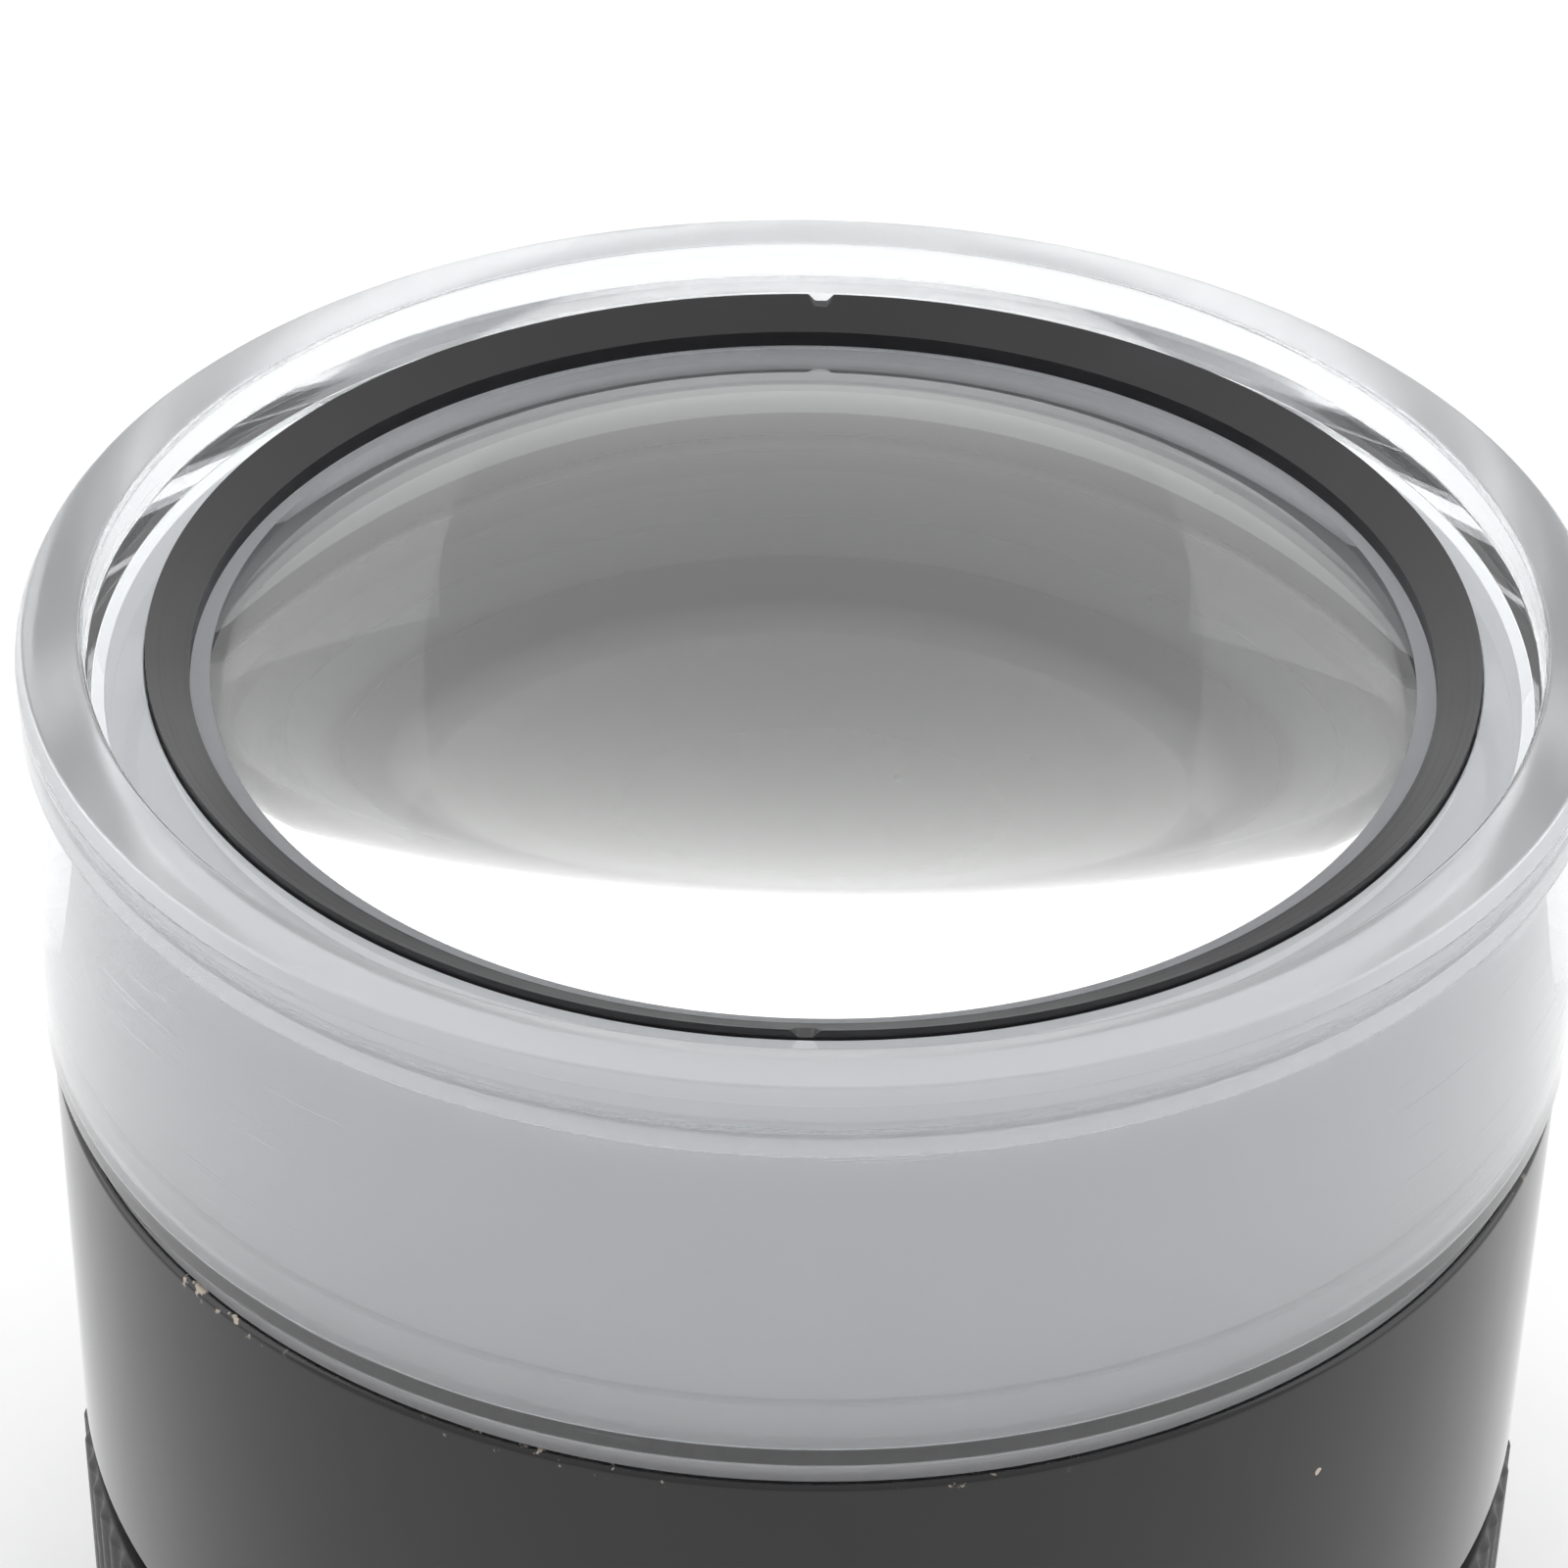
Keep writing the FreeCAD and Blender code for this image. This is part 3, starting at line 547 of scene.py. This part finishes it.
@dataclass(frozen=True)
class GlossLacquer:
    """Black baked lacquer over turned aluminium: mirror gloss with a faint orange peel.

    Noise thresholds make the nicks at the upper rim, down to a pale primer; specks are dust.
    """

    name: str = "gloss_black_baked_lacquer"
    colour: str = "#0A0A0C"
    primer: str = "#B4A79A"
    roughness: float = 0.045
    rim_height: float = 0.0459
    rim_radius: float = 0.03375
    peel: float = 0.9 * MM

    def material(self) -> bpy.types.Material:
        """Builds the material once and returns it."""
        if self.name in bpy.data.materials:
            return bpy.data.materials[self.name]
        material, tree, shader = new_material(self.name, linear(self.colour))
        place = add(tree, "ShaderNodeSeparateXYZ", {"Vector": stretched(tree)})
        reach = axis_distance(tree)
        # Nicks sit within half a millimetre of the upper rim, on its outside.
        near_top = ramp(tree, place.outputs["Z"], 0.0, 1.0,
                        self.rim_height - 0.6 * MM, self.rim_height - 0.1 * MM)
        outside = ramp(tree, reach, 0.0, 1.0, self.rim_radius - 0.5 * MM, self.rim_radius - 0.2 * MM)
        rim = add(tree, "ShaderNodeMath", {0: near_top, 1: outside}, operation="MULTIPLY")
        chips = add(tree, "ShaderNodeTexNoise", {"Vector": stretched(tree), "Scale": 1400.0,
                                                 "Detail": 4.0, "Roughness": 0.6})
        patch = add(tree, "ShaderNodeTexNoise", {"Vector": stretched(tree), "Scale": 110.0,
                                                 "Detail": 1.0})
        chipped = ramp(tree, chips.outputs["Fac"], 0.0, 1.0, 0.60, 0.64)
        where = ramp(tree, patch.outputs["Fac"], 0.0, 1.0, 0.55, 0.60)
        nick = add(tree, "ShaderNodeMath", {0: chipped, 1: where}, operation="MULTIPLY")
        nick = add(tree, "ShaderNodeMath", {0: nick.outputs[0], 1: rim.outputs[0]}, operation="MULTIPLY")
        dust = specks(tree, 3.6 * MM, 0.16, 0.045)
        marked = add(tree, "ShaderNodeMath", {0: nick.outputs[0], 1: dust}, operation="MAXIMUM")
        tone = blend_colours(tree, marked.outputs[0], self.colour, self.primer)
        tree.links.new(tone, shader.inputs["Base Color"])
        tree.links.new(ramp(tree, marked.outputs[0], self.roughness, 0.6), shader.inputs["Roughness"])
        wave = add(tree, "ShaderNodeTexNoise", {"Vector": stretched(tree),
                                                "Scale": 1.0 / self.peel, "Detail": 1.0})
        height = add(tree, "ShaderNodeMath", {0: wave.outputs["Fac"], 1: marked.outputs[0]},
                     operation="SUBTRACT")
        bump(tree, shader, height.outputs[0], 0.2, 0.01 * MM)
        return material


@dataclass(frozen=True)
class FlutedAnodised:
    """Black anodised aluminium, fluted: the crests are rubbed a little lighter than the valleys."""

    name: str = "black_anodised_fluted_aluminium"
    colour: str = "#1A1A1D"
    rubbed: str = "#55555A"
    crest_radius: float = 0.03395
    valley_radius: float = 0.0336

    def material(self) -> bpy.types.Material:
        """Builds the material once and returns it."""
        if self.name in bpy.data.materials:
            return bpy.data.materials[self.name]
        material, tree, shader = new_material(self.name, linear(self.colour))
        grain = add(tree, "ShaderNodeTexNoise", {"Vector": stretched(tree), "Scale": 2600.0,
                                                 "Detail": 3.0})
        reach = axis_distance(tree)
        crest = ramp(tree, reach, 0.0, 1.0, self.valley_radius, self.crest_radius)
        rubbed = add(tree, "ShaderNodeMath", {0: crest, 1: grain.outputs["Fac"]}, operation="MULTIPLY")
        mask = ramp(tree, rubbed.outputs[0], 0.0, 1.0, 0.42, 0.66)
        tree.links.new(blend_colours(tree, mask, self.colour, self.rubbed), shader.inputs["Base Color"])
        tree.links.new(ramp(tree, grain.outputs["Fac"], 0.32, 0.50), shader.inputs["Roughness"])
        bump(tree, shader, grain.outputs["Fac"], 0.3, 0.02 * MM)
        return material


@dataclass(frozen=True)
class Moulded:
    """A plain matt surface with a fine grain: rubber, acetal, card or a blacked lens edge."""

    name: str
    colour: str
    lighter: str
    roughness: float
    grain: float
    relief: float

    def material(self) -> bpy.types.Material:
        """Builds the material once and returns it."""
        if self.name in bpy.data.materials:
            return bpy.data.materials[self.name]
        material, tree, shader = new_material(self.name, linear(self.colour))
        skin = add(tree, "ShaderNodeTexNoise", {"Vector": stretched(tree),
                                                "Scale": 1.0 / self.grain, "Detail": 4.0})
        bloom = add(tree, "ShaderNodeTexNoise", {"Vector": stretched(tree), "Scale": 90.0,
                                                 "Detail": 3.0})
        patch = ramp(tree, bloom.outputs["Fac"], 0.0, 1.0, 0.45, 0.75)
        tree.links.new(blend_colours(tree, patch, self.colour, self.lighter), shader.inputs["Base Color"])
        tree.links.new(ramp(tree, skin.outputs["Fac"], self.roughness - 0.1, self.roughness + 0.1),
                       shader.inputs["Roughness"])
        bump(tree, shader, skin.outputs["Fac"], 0.5, self.relief)
        return material


ACRYLIC = PolishedAcrylic()
ACRYLIC_LAPPED = PolishedAcrylic("lapped_cast_acrylic_rim", "#F7F9FB", clear=0.80, frost=0.30)
ACRYLIC_GROUND = GroundAcrylic()
GLASS = CoatedGlass()
GLASS_EDGE = GroundGlass(passed=0.95)
FROSTED = GroundGlass("sandblasted_acrylic", grit=0.06 * MM, passed=0.88)
BLACK = TurnedMetal("black_anodised_turned_aluminium", "#121114", "#1E1E23", 0.0, 0.36)
BRASS = TurnedMetal("turned_cartridge_brass", "#C9A55C", "#B08D48", 1.0, 0.28)
STEEL = TurnedMetal("blackened_spring_steel", "#3A3A3C", "#57575A", 1.0, 0.42, pitch=0.1 * MM)
LACQUER = GlossLacquer()
GRIP = FlutedAnodised()
RUBBER = Moulded("moulded_nitrile_rubber", "#18181A", "#242426", 0.68, 0.16 * MM, 0.03 * MM)
BLACKED = Moulded("blacked_ground_glass_edge", "#1C1C1E", "#262628", 0.8, 0.12 * MM, 0.01 * MM)
ACETAL = Moulded("white_acetal_washer", "#E6E5DF", "#DAD8D0", 0.42, 0.4 * MM, 0.006 * MM)
CARD = Moulded("pale_matte_card", "#F7F7F7", "#F4F4F5", 0.85, 0.8 * MM, 0.01 * MM)


# --- sub-assemblies ---------------------------------------------------------------------------


@dataclass
class ClearCollar:
    """Clear collar with a flat rim; inside, a shelf and a short flange that holds the lens ring."""

    hull: Envelope = field(default_factory=lambda: Envelope.of("clear_collar"))
    wall: float = 2.9 * MM
    rim_chamfer: tuple[float, float] = (0.35 * MM, 0.7 * MM)
    foot_chamfer: float = 0.5 * MM
    bore_chamfer: float = 0.2 * MM
    shelf_drop: float = 1.65 * MM
    flange_foot_drop: float = 4.5 * MM
    thread_radius: float = 28.63 * MM
    thread_depth: float = 2.4 * MM
    pocket_radius: float = 28.2 * MM
    easing: float = 0.12 * MM

    def build(self) -> bpy.types.Object:
        """Turns the collar from its closed section.

        Returns:
            The collar; its material indices are polished, ground and lapped.
        """
        out, top, foot = self.hull.radius, self.hull.top, self.hull.foot
        bore = out - self.wall
        shelf = top - self.shelf_drop
        corners = [
            (bore, foot),
            (out - self.foot_chamfer, foot),
            (out, foot + self.foot_chamfer),
            (out, top - self.rim_chamfer[1]),
            (out - self.rim_chamfer[0], top),
            (bore + self.bore_chamfer, top),
            (bore, top - self.bore_chamfer),
            (bore, shelf),
            (self.thread_radius, shelf),
            (self.thread_radius, shelf - self.thread_depth),
            (self.pocket_radius, shelf - self.thread_depth),
            (self.pocket_radius, top - self.flange_foot_drop),
            (bore, top - self.flange_foot_drop),
        ]

        def bands(radius: np.ndarray, height: np.ndarray) -> np.ndarray:
            """The foot face and the thread are ground, the rim and its chamfer lapped."""
            ground = (height < foot + 0.02 * MM) | (radius < self.thread_radius + 0.05 * MM)
            lapped = (height > top - self.rim_chamfer[1]) & (radius > bore + self.bore_chamfer)
            return np.where(ground, 1, np.where(lapped, 2, 0))

        return turned("clear_collar_polished", eased(corners, self.easing), bands=bands)

    def dress(self, piece: bpy.types.Object) -> None:
        """Gives the collar its finishes and its place in the frame."""
        seat(piece, Body.STAND, ["clear_collar"], [ACRYLIC, ACRYLIC_GROUND, ACRYLIC_LAPPED])


@dataclass
class LensCell:
    """Frosted cell inside the collar, with the middle lens and its ring screwed in from below."""

    hull: Envelope = field(default_factory=lambda: Envelope.of("lens_cell"))
    lens: Envelope = field(default_factory=lambda: Envelope.of("middle_lens"))
    ring: Envelope = field(default_factory=lambda: Envelope.of("middle_retaining_ring"))
    wall_radius: float = 30.6 * MM
    register_radius: float = 31.05 * MM
    register_top: float = 49.0 * MM
    flange_top: float = 46.6 * MM
    flange_foot: float = 45.9 * MM
    thread_radius: float = 31.4 * MM
    seat_radius: float = 26.6 * MM
    seat_height: float = 46.95 * MM
    pocket_radius: float = 28.2 * MM
    lower_pocket: tuple[float, float] = (28.05 * MM, 42.65 * MM)
    lower_thread: tuple[float, float] = (28.35 * MM, 39.3 * MM)
    middle_edge_foot: float = 40.05 * MM
    middle_curve: float = 110.0 * MM
    middle_edge: float = 26.3 * MM
    ring_bore: float = 26.4 * MM

    def build(self) -> list[bpy.types.Object]:
        """Turns the cell, the middle lens and its ring.

        Returns:
            The three pieces in that order.
        """
        corners = [
            (self.pocket_radius, self.hull.top),
            (self.wall_radius, self.hull.top),
            (self.wall_radius, self.register_top),
            (self.register_radius, self.register_top),
            (self.register_radius, self.flange_top),
            (self.hull.radius, self.flange_top),
            (self.hull.radius, self.flange_foot),
            (self.thread_radius, self.flange_foot),
            (self.thread_radius, self.hull.foot),
            (self.lower_thread[0], self.hull.foot),
            self.lower_thread,
            (self.lower_pocket[0], self.lower_thread[1]),
            self.lower_pocket,
            (self.seat_radius, self.lower_pocket[1]),
            (self.seat_radius, self.seat_height),
            (self.pocket_radius, self.seat_height),
        ]
        cell = turned("lens_cell_frosted", eased(corners, 0.1 * MM))
        back = dome(self.middle_curve, self.middle_edge, self.middle_edge_foot, upwards=False)
        out, top = self.lens.radius, self.lens.top
        edge = [(out, self.middle_edge_foot), (out, top), (0.0, top)]
        lens_section = np.concatenate([back, np.array(edge)])
        lens = turned("middle_lens_polished", lens_section, bands=ground_beyond(self.middle_edge + 0.1 * MM))
        shoulder = self.lower_pocket[0] - 0.05 * MM
        ring_corners = [
            (self.ring_bore, self.ring.foot),
            (self.ring.radius, self.ring.foot),
            (self.ring.radius, self.lower_thread[1] - 0.05 * MM),
            (shoulder, self.lower_thread[1] - 0.05 * MM),
            (shoulder, self.ring.top),
            (self.ring_bore, self.ring.top),
        ]
        return [cell, lens, turned("middle_ring_black", eased(ring_corners, 0.1 * MM))]

    def dress(self, pieces: list[bpy.types.Object]) -> None:
        """Gives the three pieces their finishes and their places in the frame."""
        cell, lens, ring = pieces
        seat(cell, Body.STAND, ["lens_cell"], [FROSTED])
        seat(lens, Body.STAND, ["middle_lens"], [GLASS, GLASS_EDGE])
        seat(ring, Body.STAND, ["middle_retaining_ring"], [BLACK])


def ground_beyond(radius: float) -> Callable[[np.ndarray, np.ndarray], np.ndarray]:
    """Marks the rows of a lens that lie outside a radius as ground.

    Args:
        radius: Radius where the polish ends.

    Returns:
        A function of the rows' radii and heights that gives 1 for ground rows.
    """
    return lambda r, z: (r > radius).astype(int)


@dataclass
class FieldLens:
    """Thick biconvex lens, and the black ring with two spanner notches that holds it."""

    hull: Envelope = field(default_factory=lambda: Envelope.of("field_lens"))
    ring: Envelope = field(default_factory=lambda: Envelope.of("field_retaining_ring"))
    front_curve: float = 66.0 * MM
    front_edge: tuple[float, float] = (25.9 * MM, 63.25 * MM)
    bevel_foot: float = 62.15 * MM
    seat_height: float = 47.0 * MM
    back_curve: float = 90.0 * MM
    back_edge: float = 26.4 * MM
    ring_bore: float = 26.76 * MM
    ring_bore_span: tuple[float, float] = (62.95 * MM, 63.69 * MM)
    notch_foot: float = 0.275 * MM
    notch_slope: float = 1.04
    notch_depth: float = 0.35 * MM
    notch_reach: float = 1.4 * MM
    notch_clear: float = 1.5 * MM
    notch_steps: int = 57
    face_steps: int = 13
    wall_steps: int = 8

    def build(self) -> list[bpy.types.Object]:
        """Turns the lens and the ring; the ring's notches are a warp of its crest.

        Where the crest crosses the Y axis its height is held to the notch's floor plus the slope
        times the distance past the floor's half width.

        Returns:
            The lens and the ring.
        """
        front = dome(self.front_curve, self.front_edge[0], self.front_edge[1], upwards=True)[::-1]
        back = dome(self.back_curve, self.back_edge, self.seat_height, upwards=False)
        rim = [(self.hull.radius, self.seat_height), (self.hull.radius, self.bevel_foot)]
        section = np.concatenate([back, np.array(rim), front])
        lens = turned("field_lens_polished", section, bands=ground_beyond(self.front_edge[0] + 0.05 * MM))
        crest = self.ring.top
        low, high = self.ring_bore_span
        slope = np.linspace(0.0, 1.0, self.face_steps)[:, None]
        inner, outer = np.array([[self.ring_bore, high]]), np.array([[self.ring.radius, crest]])
        face = inner * (1 - slope) + outer * slope
        outside = np.linspace(crest, self.ring.foot, self.wall_steps + 1)[1:]
        wall = np.stack([np.full(self.wall_steps, self.ring.radius), outside], axis=1)
        section = np.concatenate([face, wall, [[self.ring_bore, low]]])
        floor = crest - self.notch_depth

        def notches(
            radius: np.ndarray, height: np.ndarray, angle: np.ndarray
        ) -> tuple[np.ndarray, np.ndarray]:
            """Lowers the crest near the Y axis to the notch's outline."""
            past = np.maximum(np.abs(radius * np.cos(angle)) - self.notch_foot, 0.0)
            return radius, np.minimum(height, np.maximum(floor + past * self.notch_slope, self.ring.foot))

        fine = np.linspace(-self.notch_reach, self.notch_reach, self.notch_steps) / self.ring.radius
        even = np.linspace(0.0, 2.0 * np.pi, SEGMENTS, endpoint=False)
        away = np.abs(np.cos(even)) > self.notch_clear / self.ring.radius
        angles = np.sort(np.concatenate([even[away], np.pi / 2 + fine, 3 * np.pi / 2 + fine]))
        return [lens, turned("field_lens_ring", section, angles=angles, warp=notches)]

    def dress(self, pieces: list[bpy.types.Object]) -> None:
        """Gives the lens and the ring their finishes and their places in the frame."""
        lens, ring = pieces
        seat(lens, Body.STAND, ["field_lens"], [GLASS, GLASS_EDGE])
        seat(ring, Body.STAND, ["field_retaining_ring"], [BLACK])


@dataclass
class Barrel:
    """Gloss black barrel with a chamfered shoulder and a sleeve below.

    The sleeve is turned plain: the grip hides the CAD sleeve's three upright slots.
    """

    hull: Envelope = field(default_factory=lambda: Envelope.of("barrel"))
    top_chamfer: float = 0.2 * MM
    counterbore: tuple[float, float] = (31.45 * MM, 36.0 * MM)
    shoulder_top: float = 24.8 * MM
    shoulder: tuple[float, float] = (33.1 * MM, 22.9 * MM)
    sleeve_radius: float = 30.5 * MM
    sleeve_bore: float = 27.5 * MM

    def build(self) -> bpy.types.Object:
        """Turns the barrel from its closed section.

        Returns:
            The barrel.
        """
        top, out = self.hull.top, self.hull.radius
        corners = [
            (self.counterbore[0], top),
            (out - self.top_chamfer, top),
            (out, top - self.top_chamfer),
            (out, self.shoulder_top),
            self.shoulder,
            (self.sleeve_radius, self.shoulder[1]),
            (self.sleeve_radius, self.hull.foot),
            (self.sleeve_bore, self.hull.foot),
            (self.sleeve_bore, self.counterbore[1]),
            self.counterbore,
        ]
        return turned("barrel_gloss", eased(corners, 0.12 * MM))

    def dress(self, piece: bpy.types.Object) -> None:
        """Gives the barrel its finish and its place in the frame."""
        seat(piece, Body.STAND, ["barrel"], [LACQUER])


@dataclass
class FocusGrip:
    """Fluted ring: its outer wall follows 120 round valleys."""

    hull: Envelope = field(default_factory=lambda: Envelope.of("focus_grip"))
    bore: float = 32.25 * MM
    flutes: int = 120
    flute_depth: float = 0.32 * MM
    chamfer: float = 0.4 * MM
    steps_per_flute: int = 8

    def build(self) -> bpy.types.Object:
        """Turns the grip; the wall's radius drops by the depth times the square of a cosine of the turn.

        Returns:
            The grip.
        """
        out, foot, top = self.hull.radius, self.hull.foot, self.hull.top
        corners = [
            (self.bore, foot),
            (out - self.chamfer, foot),
            (out, foot + self.chamfer),
            (out, top - self.chamfer),
            (out - self.chamfer, top),
            (self.bore, top),
        ]

        def fluted(
            radius: np.ndarray, height: np.ndarray, angle: np.ndarray
        ) -> tuple[np.ndarray, np.ndarray]:
            """Pulls the outer wall in at each valley."""
            outer = np.clip((radius - (out - self.chamfer)) / self.chamfer, 0.0, 1.0)
            valley = np.cos(angle * self.flutes / 2.0) ** 2
            return radius - self.flute_depth * outer * valley, height

        angles = np.linspace(0.0, 2.0 * np.pi, self.flutes * self.steps_per_flute, endpoint=False)
        return turned("focus_grip_fluted", eased(corners, 0.12 * MM), angles=angles, warp=fluted)

    def dress(self, piece: bpy.types.Object) -> None:
        """Gives the grip its finish and its place in the frame."""
        seat(piece, Body.RING, ["focus_grip"], [GRIP])


@dataclass
class FocusGroup:
    """The cemented doublet and the lower lens of the sliding group."""

    crown: Envelope = field(default_factory=lambda: Envelope.of("doublet_crown"))
    flint: Envelope = field(default_factory=lambda: Envelope.of("doublet_flint"))
    lower: Envelope = field(default_factory=lambda: Envelope.of("lower_lens"))
    crown_curve: float = 60.0 * MM
    crown_edge: tuple[float, float] = (23.3 * MM, 26.95 * MM)
    lower_curve: float = 80.0 * MM
    lower_edge: tuple[float, float] = (23.3 * MM, 12.9 * MM)

    def build(self) -> list[bpy.types.Object]:
        """Turns the doublet as one cemented block, and the lower lens.

        Returns:
            The doublet and the lower lens.
        """
        front = dome(self.crown_curve, self.crown_edge[0], self.crown_edge[1], upwards=True)[::-1]
        out, foot = self.crown.radius, self.flint.foot
        edge = [(0.0, foot), (out, foot), (out, self.crown_edge[1])]
        polished = ground_beyond(self.crown_edge[0] + 0.1 * MM)
        doublet = turned("cemented_doublet", np.concatenate([np.array(edge), front]), bands=polished)
        back = dome(self.lower_curve, self.lower_edge[0], self.lower_edge[1], upwards=False)
        out, top = self.lower.radius, self.lower.top
        edge = [(out, self.lower_edge[1]), (out, top), (0.0, top)]
        lower = turned("lower_lens_polished", np.concatenate([back, np.array(edge)]), bands=polished)
        return [doublet, lower]

    def dress(self, pieces: list[bpy.types.Object]) -> None:
        """Gives both lenses their finishes and their places in the frame."""
        doublet, lower = pieces
        seat(doublet, Body.GROUP, ["doublet_crown", "doublet_flint"], [GLASS, BLACKED])
        seat(lower, Body.GROUP, ["lower_lens"], [GLASS, BLACKED])


@dataclass
class Foot:
    """Rubber foot with rounded edges, let into the foot ring."""

    hull: Envelope = field(default_factory=lambda: Envelope.of("rubber_foot"))
    bore: float = 27.3 * MM
    chamfer: float = 0.5 * MM

    def build(self) -> bpy.types.Object:
        """Turns the foot from its closed section.

        Returns:
            The rubber foot.
        """
        out, foot, top = self.hull.radius, self.hull.foot, self.hull.top
        corners = [
            (self.bore, foot + self.chamfer),
            (self.bore + self.chamfer, foot),
            (out - self.chamfer, foot),
            (out, foot + self.chamfer),
            (out, top),
            (self.bore, top),
        ]
        return turned("rubber_foot_moulded", eased(corners, 0.2 * MM))

    def dress(self, piece: bpy.types.Object) -> None:
        """Gives the foot its finish and its place in the frame."""
        seat(piece, Body.STAND, ["rubber_foot"], [RUBBER])


@dataclass
class CarriedOver:
    """CAD nodes whose shape stays, each with its finish."""

    finishes: dict = field(default_factory=lambda: {
        "collar_gasket": ACETAL,
        "cam_ring": BRASS,
        "cam_followers": BRASS,
        "grip_grub_screws": STEEL,
        "foot_ring_screws": STEEL,
        "upper_slip_washer": ACETAL,
        "lower_slip_washer": ACETAL,
        "lens_carriage": BLACK,
        "glare_stop": BLACK,
        "lower_spacer": BLACK,
        "lower_retaining_ring": BLACK,
        "foot_ring": BLACK,
    })

    def dress(self) -> None:
        """Puts each finish into its node's material slots."""
        for node, finish in self.finishes.items():
            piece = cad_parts[node]
            piece.data.materials.clear()
            piece.data.materials.append(finish.material())
            log.info("%s: %s", node, finish.name)


@dataclass
class Studio:
    """Pale floor, white light that is stronger from behind, a soft box on each side, and the camera."""

    rim: Envelope = field(default_factory=lambda: Envelope.of("clear_collar"))
    floor_reach: float = 1.6
    floor_points: int = 9
    sky: tuple[float, float] = (0.82, 1.45)
    sky_span: float = 0.9
    box_size: tuple[float, float] = (0.5, 0.6)
    box_power: float = 0.8
    box_place: tuple[float, float, float] = (0.62, 0.05, 0.42)
    distance: float = 6.2016
    tilt: float = 32.841
    yaw: float = -0.3106
    pitch: float = 2.185
    roll: float = 1.220
    lens_mm: float = 113.02

    def floor(self) -> None:
        """Lays a pale matte floor with a faint grain."""
        n = self.floor_points
        line = np.linspace(-1, 1, n) * self.floor_reach
        x, y = np.meshgrid(line, line)
        points = np.stack([x.ravel(), y.ravel(), np.zeros(n * n)], axis=1)
        corner = (np.arange(n - 1)[:, None] * n + np.arange(n - 1)[None, :]).ravel()
        mesh = bpy.data.meshes.new("floor")
        squares = np.stack([corner, corner + 1, corner + n + 1, corner + n], axis=1)
        mesh.from_pydata(points, [], squares.tolist())
        floor = bpy.data.objects.new("floor", mesh)
        bpy.context.scene.collection.objects.link(floor)
        mesh.materials.append(CARD.material())

    def light(self) -> None:
        """Sets a white sky, dimmer at the front, and two soft boxes."""
        scene = bpy.context.scene
        world = bpy.data.worlds.new("white_studio")
        scene.world = world
        world.use_nodes = True
        tree = world.node_tree
        background = tree.nodes["Background"]
        background.inputs["Color"].default_value = linear("#FFFFFF")
        # The white cove behind the piece is the brighter side, the open front the dimmer one.
        towards = add(tree, "ShaderNodeTexCoord")
        split = add(tree, "ShaderNodeSeparateXYZ", {0: towards.outputs["Generated"]})
        strength = ramp(tree, split.outputs[1], *self.sky, -self.sky_span, self.sky_span)
        tree.links.new(strength, background.inputs["Strength"])
        for side in (-1.0, 1.0):
            data = bpy.data.lights.new("soft_box", "AREA")
            data.shape = "RECTANGLE"
            data.size, data.size_y = self.box_size
            data.energy = self.box_power
            lamp = bpy.data.objects.new("soft_box", data)
            lamp.location = (side * self.box_place[0], self.box_place[1], self.box_place[2])
            aim = Vector((0.0, 0.0, self.rim.top * 0.6)) - lamp.location
            lamp.rotation_euler = aim.to_track_quat("-Z", "Y").to_euler()
            scene.collection.objects.link(lamp)
        scene.view_settings.view_transform = "Standard"
        scene.cycles.max_bounces = 64
        scene.cycles.diffuse_bounces = 16
        scene.cycles.transmission_bounces = 48
        scene.cycles.glossy_bounces = 64
        scene.cycles.transparent_max_bounces = 16

    def camera(self) -> None:
        """Places the camera.

        It looks at the rim's middle from a distance given in rim radii, then turns by yaw, pitch and roll.
        """
        e, yaw, pitch, roll = (math.radians(v) for v in (self.tilt, self.yaw, self.pitch, self.roll))
        place = np.array([0.0, -self.distance * math.cos(e), self.distance * math.sin(e)])
        ahead = -place / np.linalg.norm(place)
        right = np.array([1.0, 0.0, 0.0])
        up = np.cross(right, ahead)
        look = np.array([right, -up, ahead])
        (cy, sy), (cp, sp), (cr, sr) = ((math.cos(a), math.sin(a)) for a in (yaw, pitch, roll))
        turn_y = np.array([[cy, 0, -sy], [0, 1, 0], [sy, 0, cy]])
        turn_x = np.array([[1, 0, 0], [0, cp, -sp], [0, sp, cp]])
        turn_z = np.array([[cr, -sr, 0], [sr, cr, 0], [0, 0, 1]])
        axes = turn_z @ turn_x @ turn_y @ look
        matrix = np.eye(4)
        matrix[:3, :3] = np.stack([axes[0], -axes[1], -axes[2]], axis=1)
        matrix[:3, 3] = place * self.rim.radius + np.array([0.0, 0.0, self.rim.top])
        data = bpy.data.cameras.new("camera")
        data.lens = self.lens_mm
        data.sensor_width = 36.0
        data.clip_start = 0.01
        camera = bpy.data.objects.new("camera", data)
        camera.matrix_world = Matrix(matrix.tolist())
        bpy.context.scene.collection.objects.link(camera)
        bpy.context.scene.camera = camera


def main() -> None:
    studio = Studio()
    studio.camera()
    studio.light()
    studio.floor()
    for assembly in (ClearCollar(), LensCell(), FieldLens(), Barrel(), FocusGrip(), FocusGroup(), Foot()):
        assembly.dress(assembly.build())
    CarriedOver().dress()


if __name__ == "__main__":
    main()
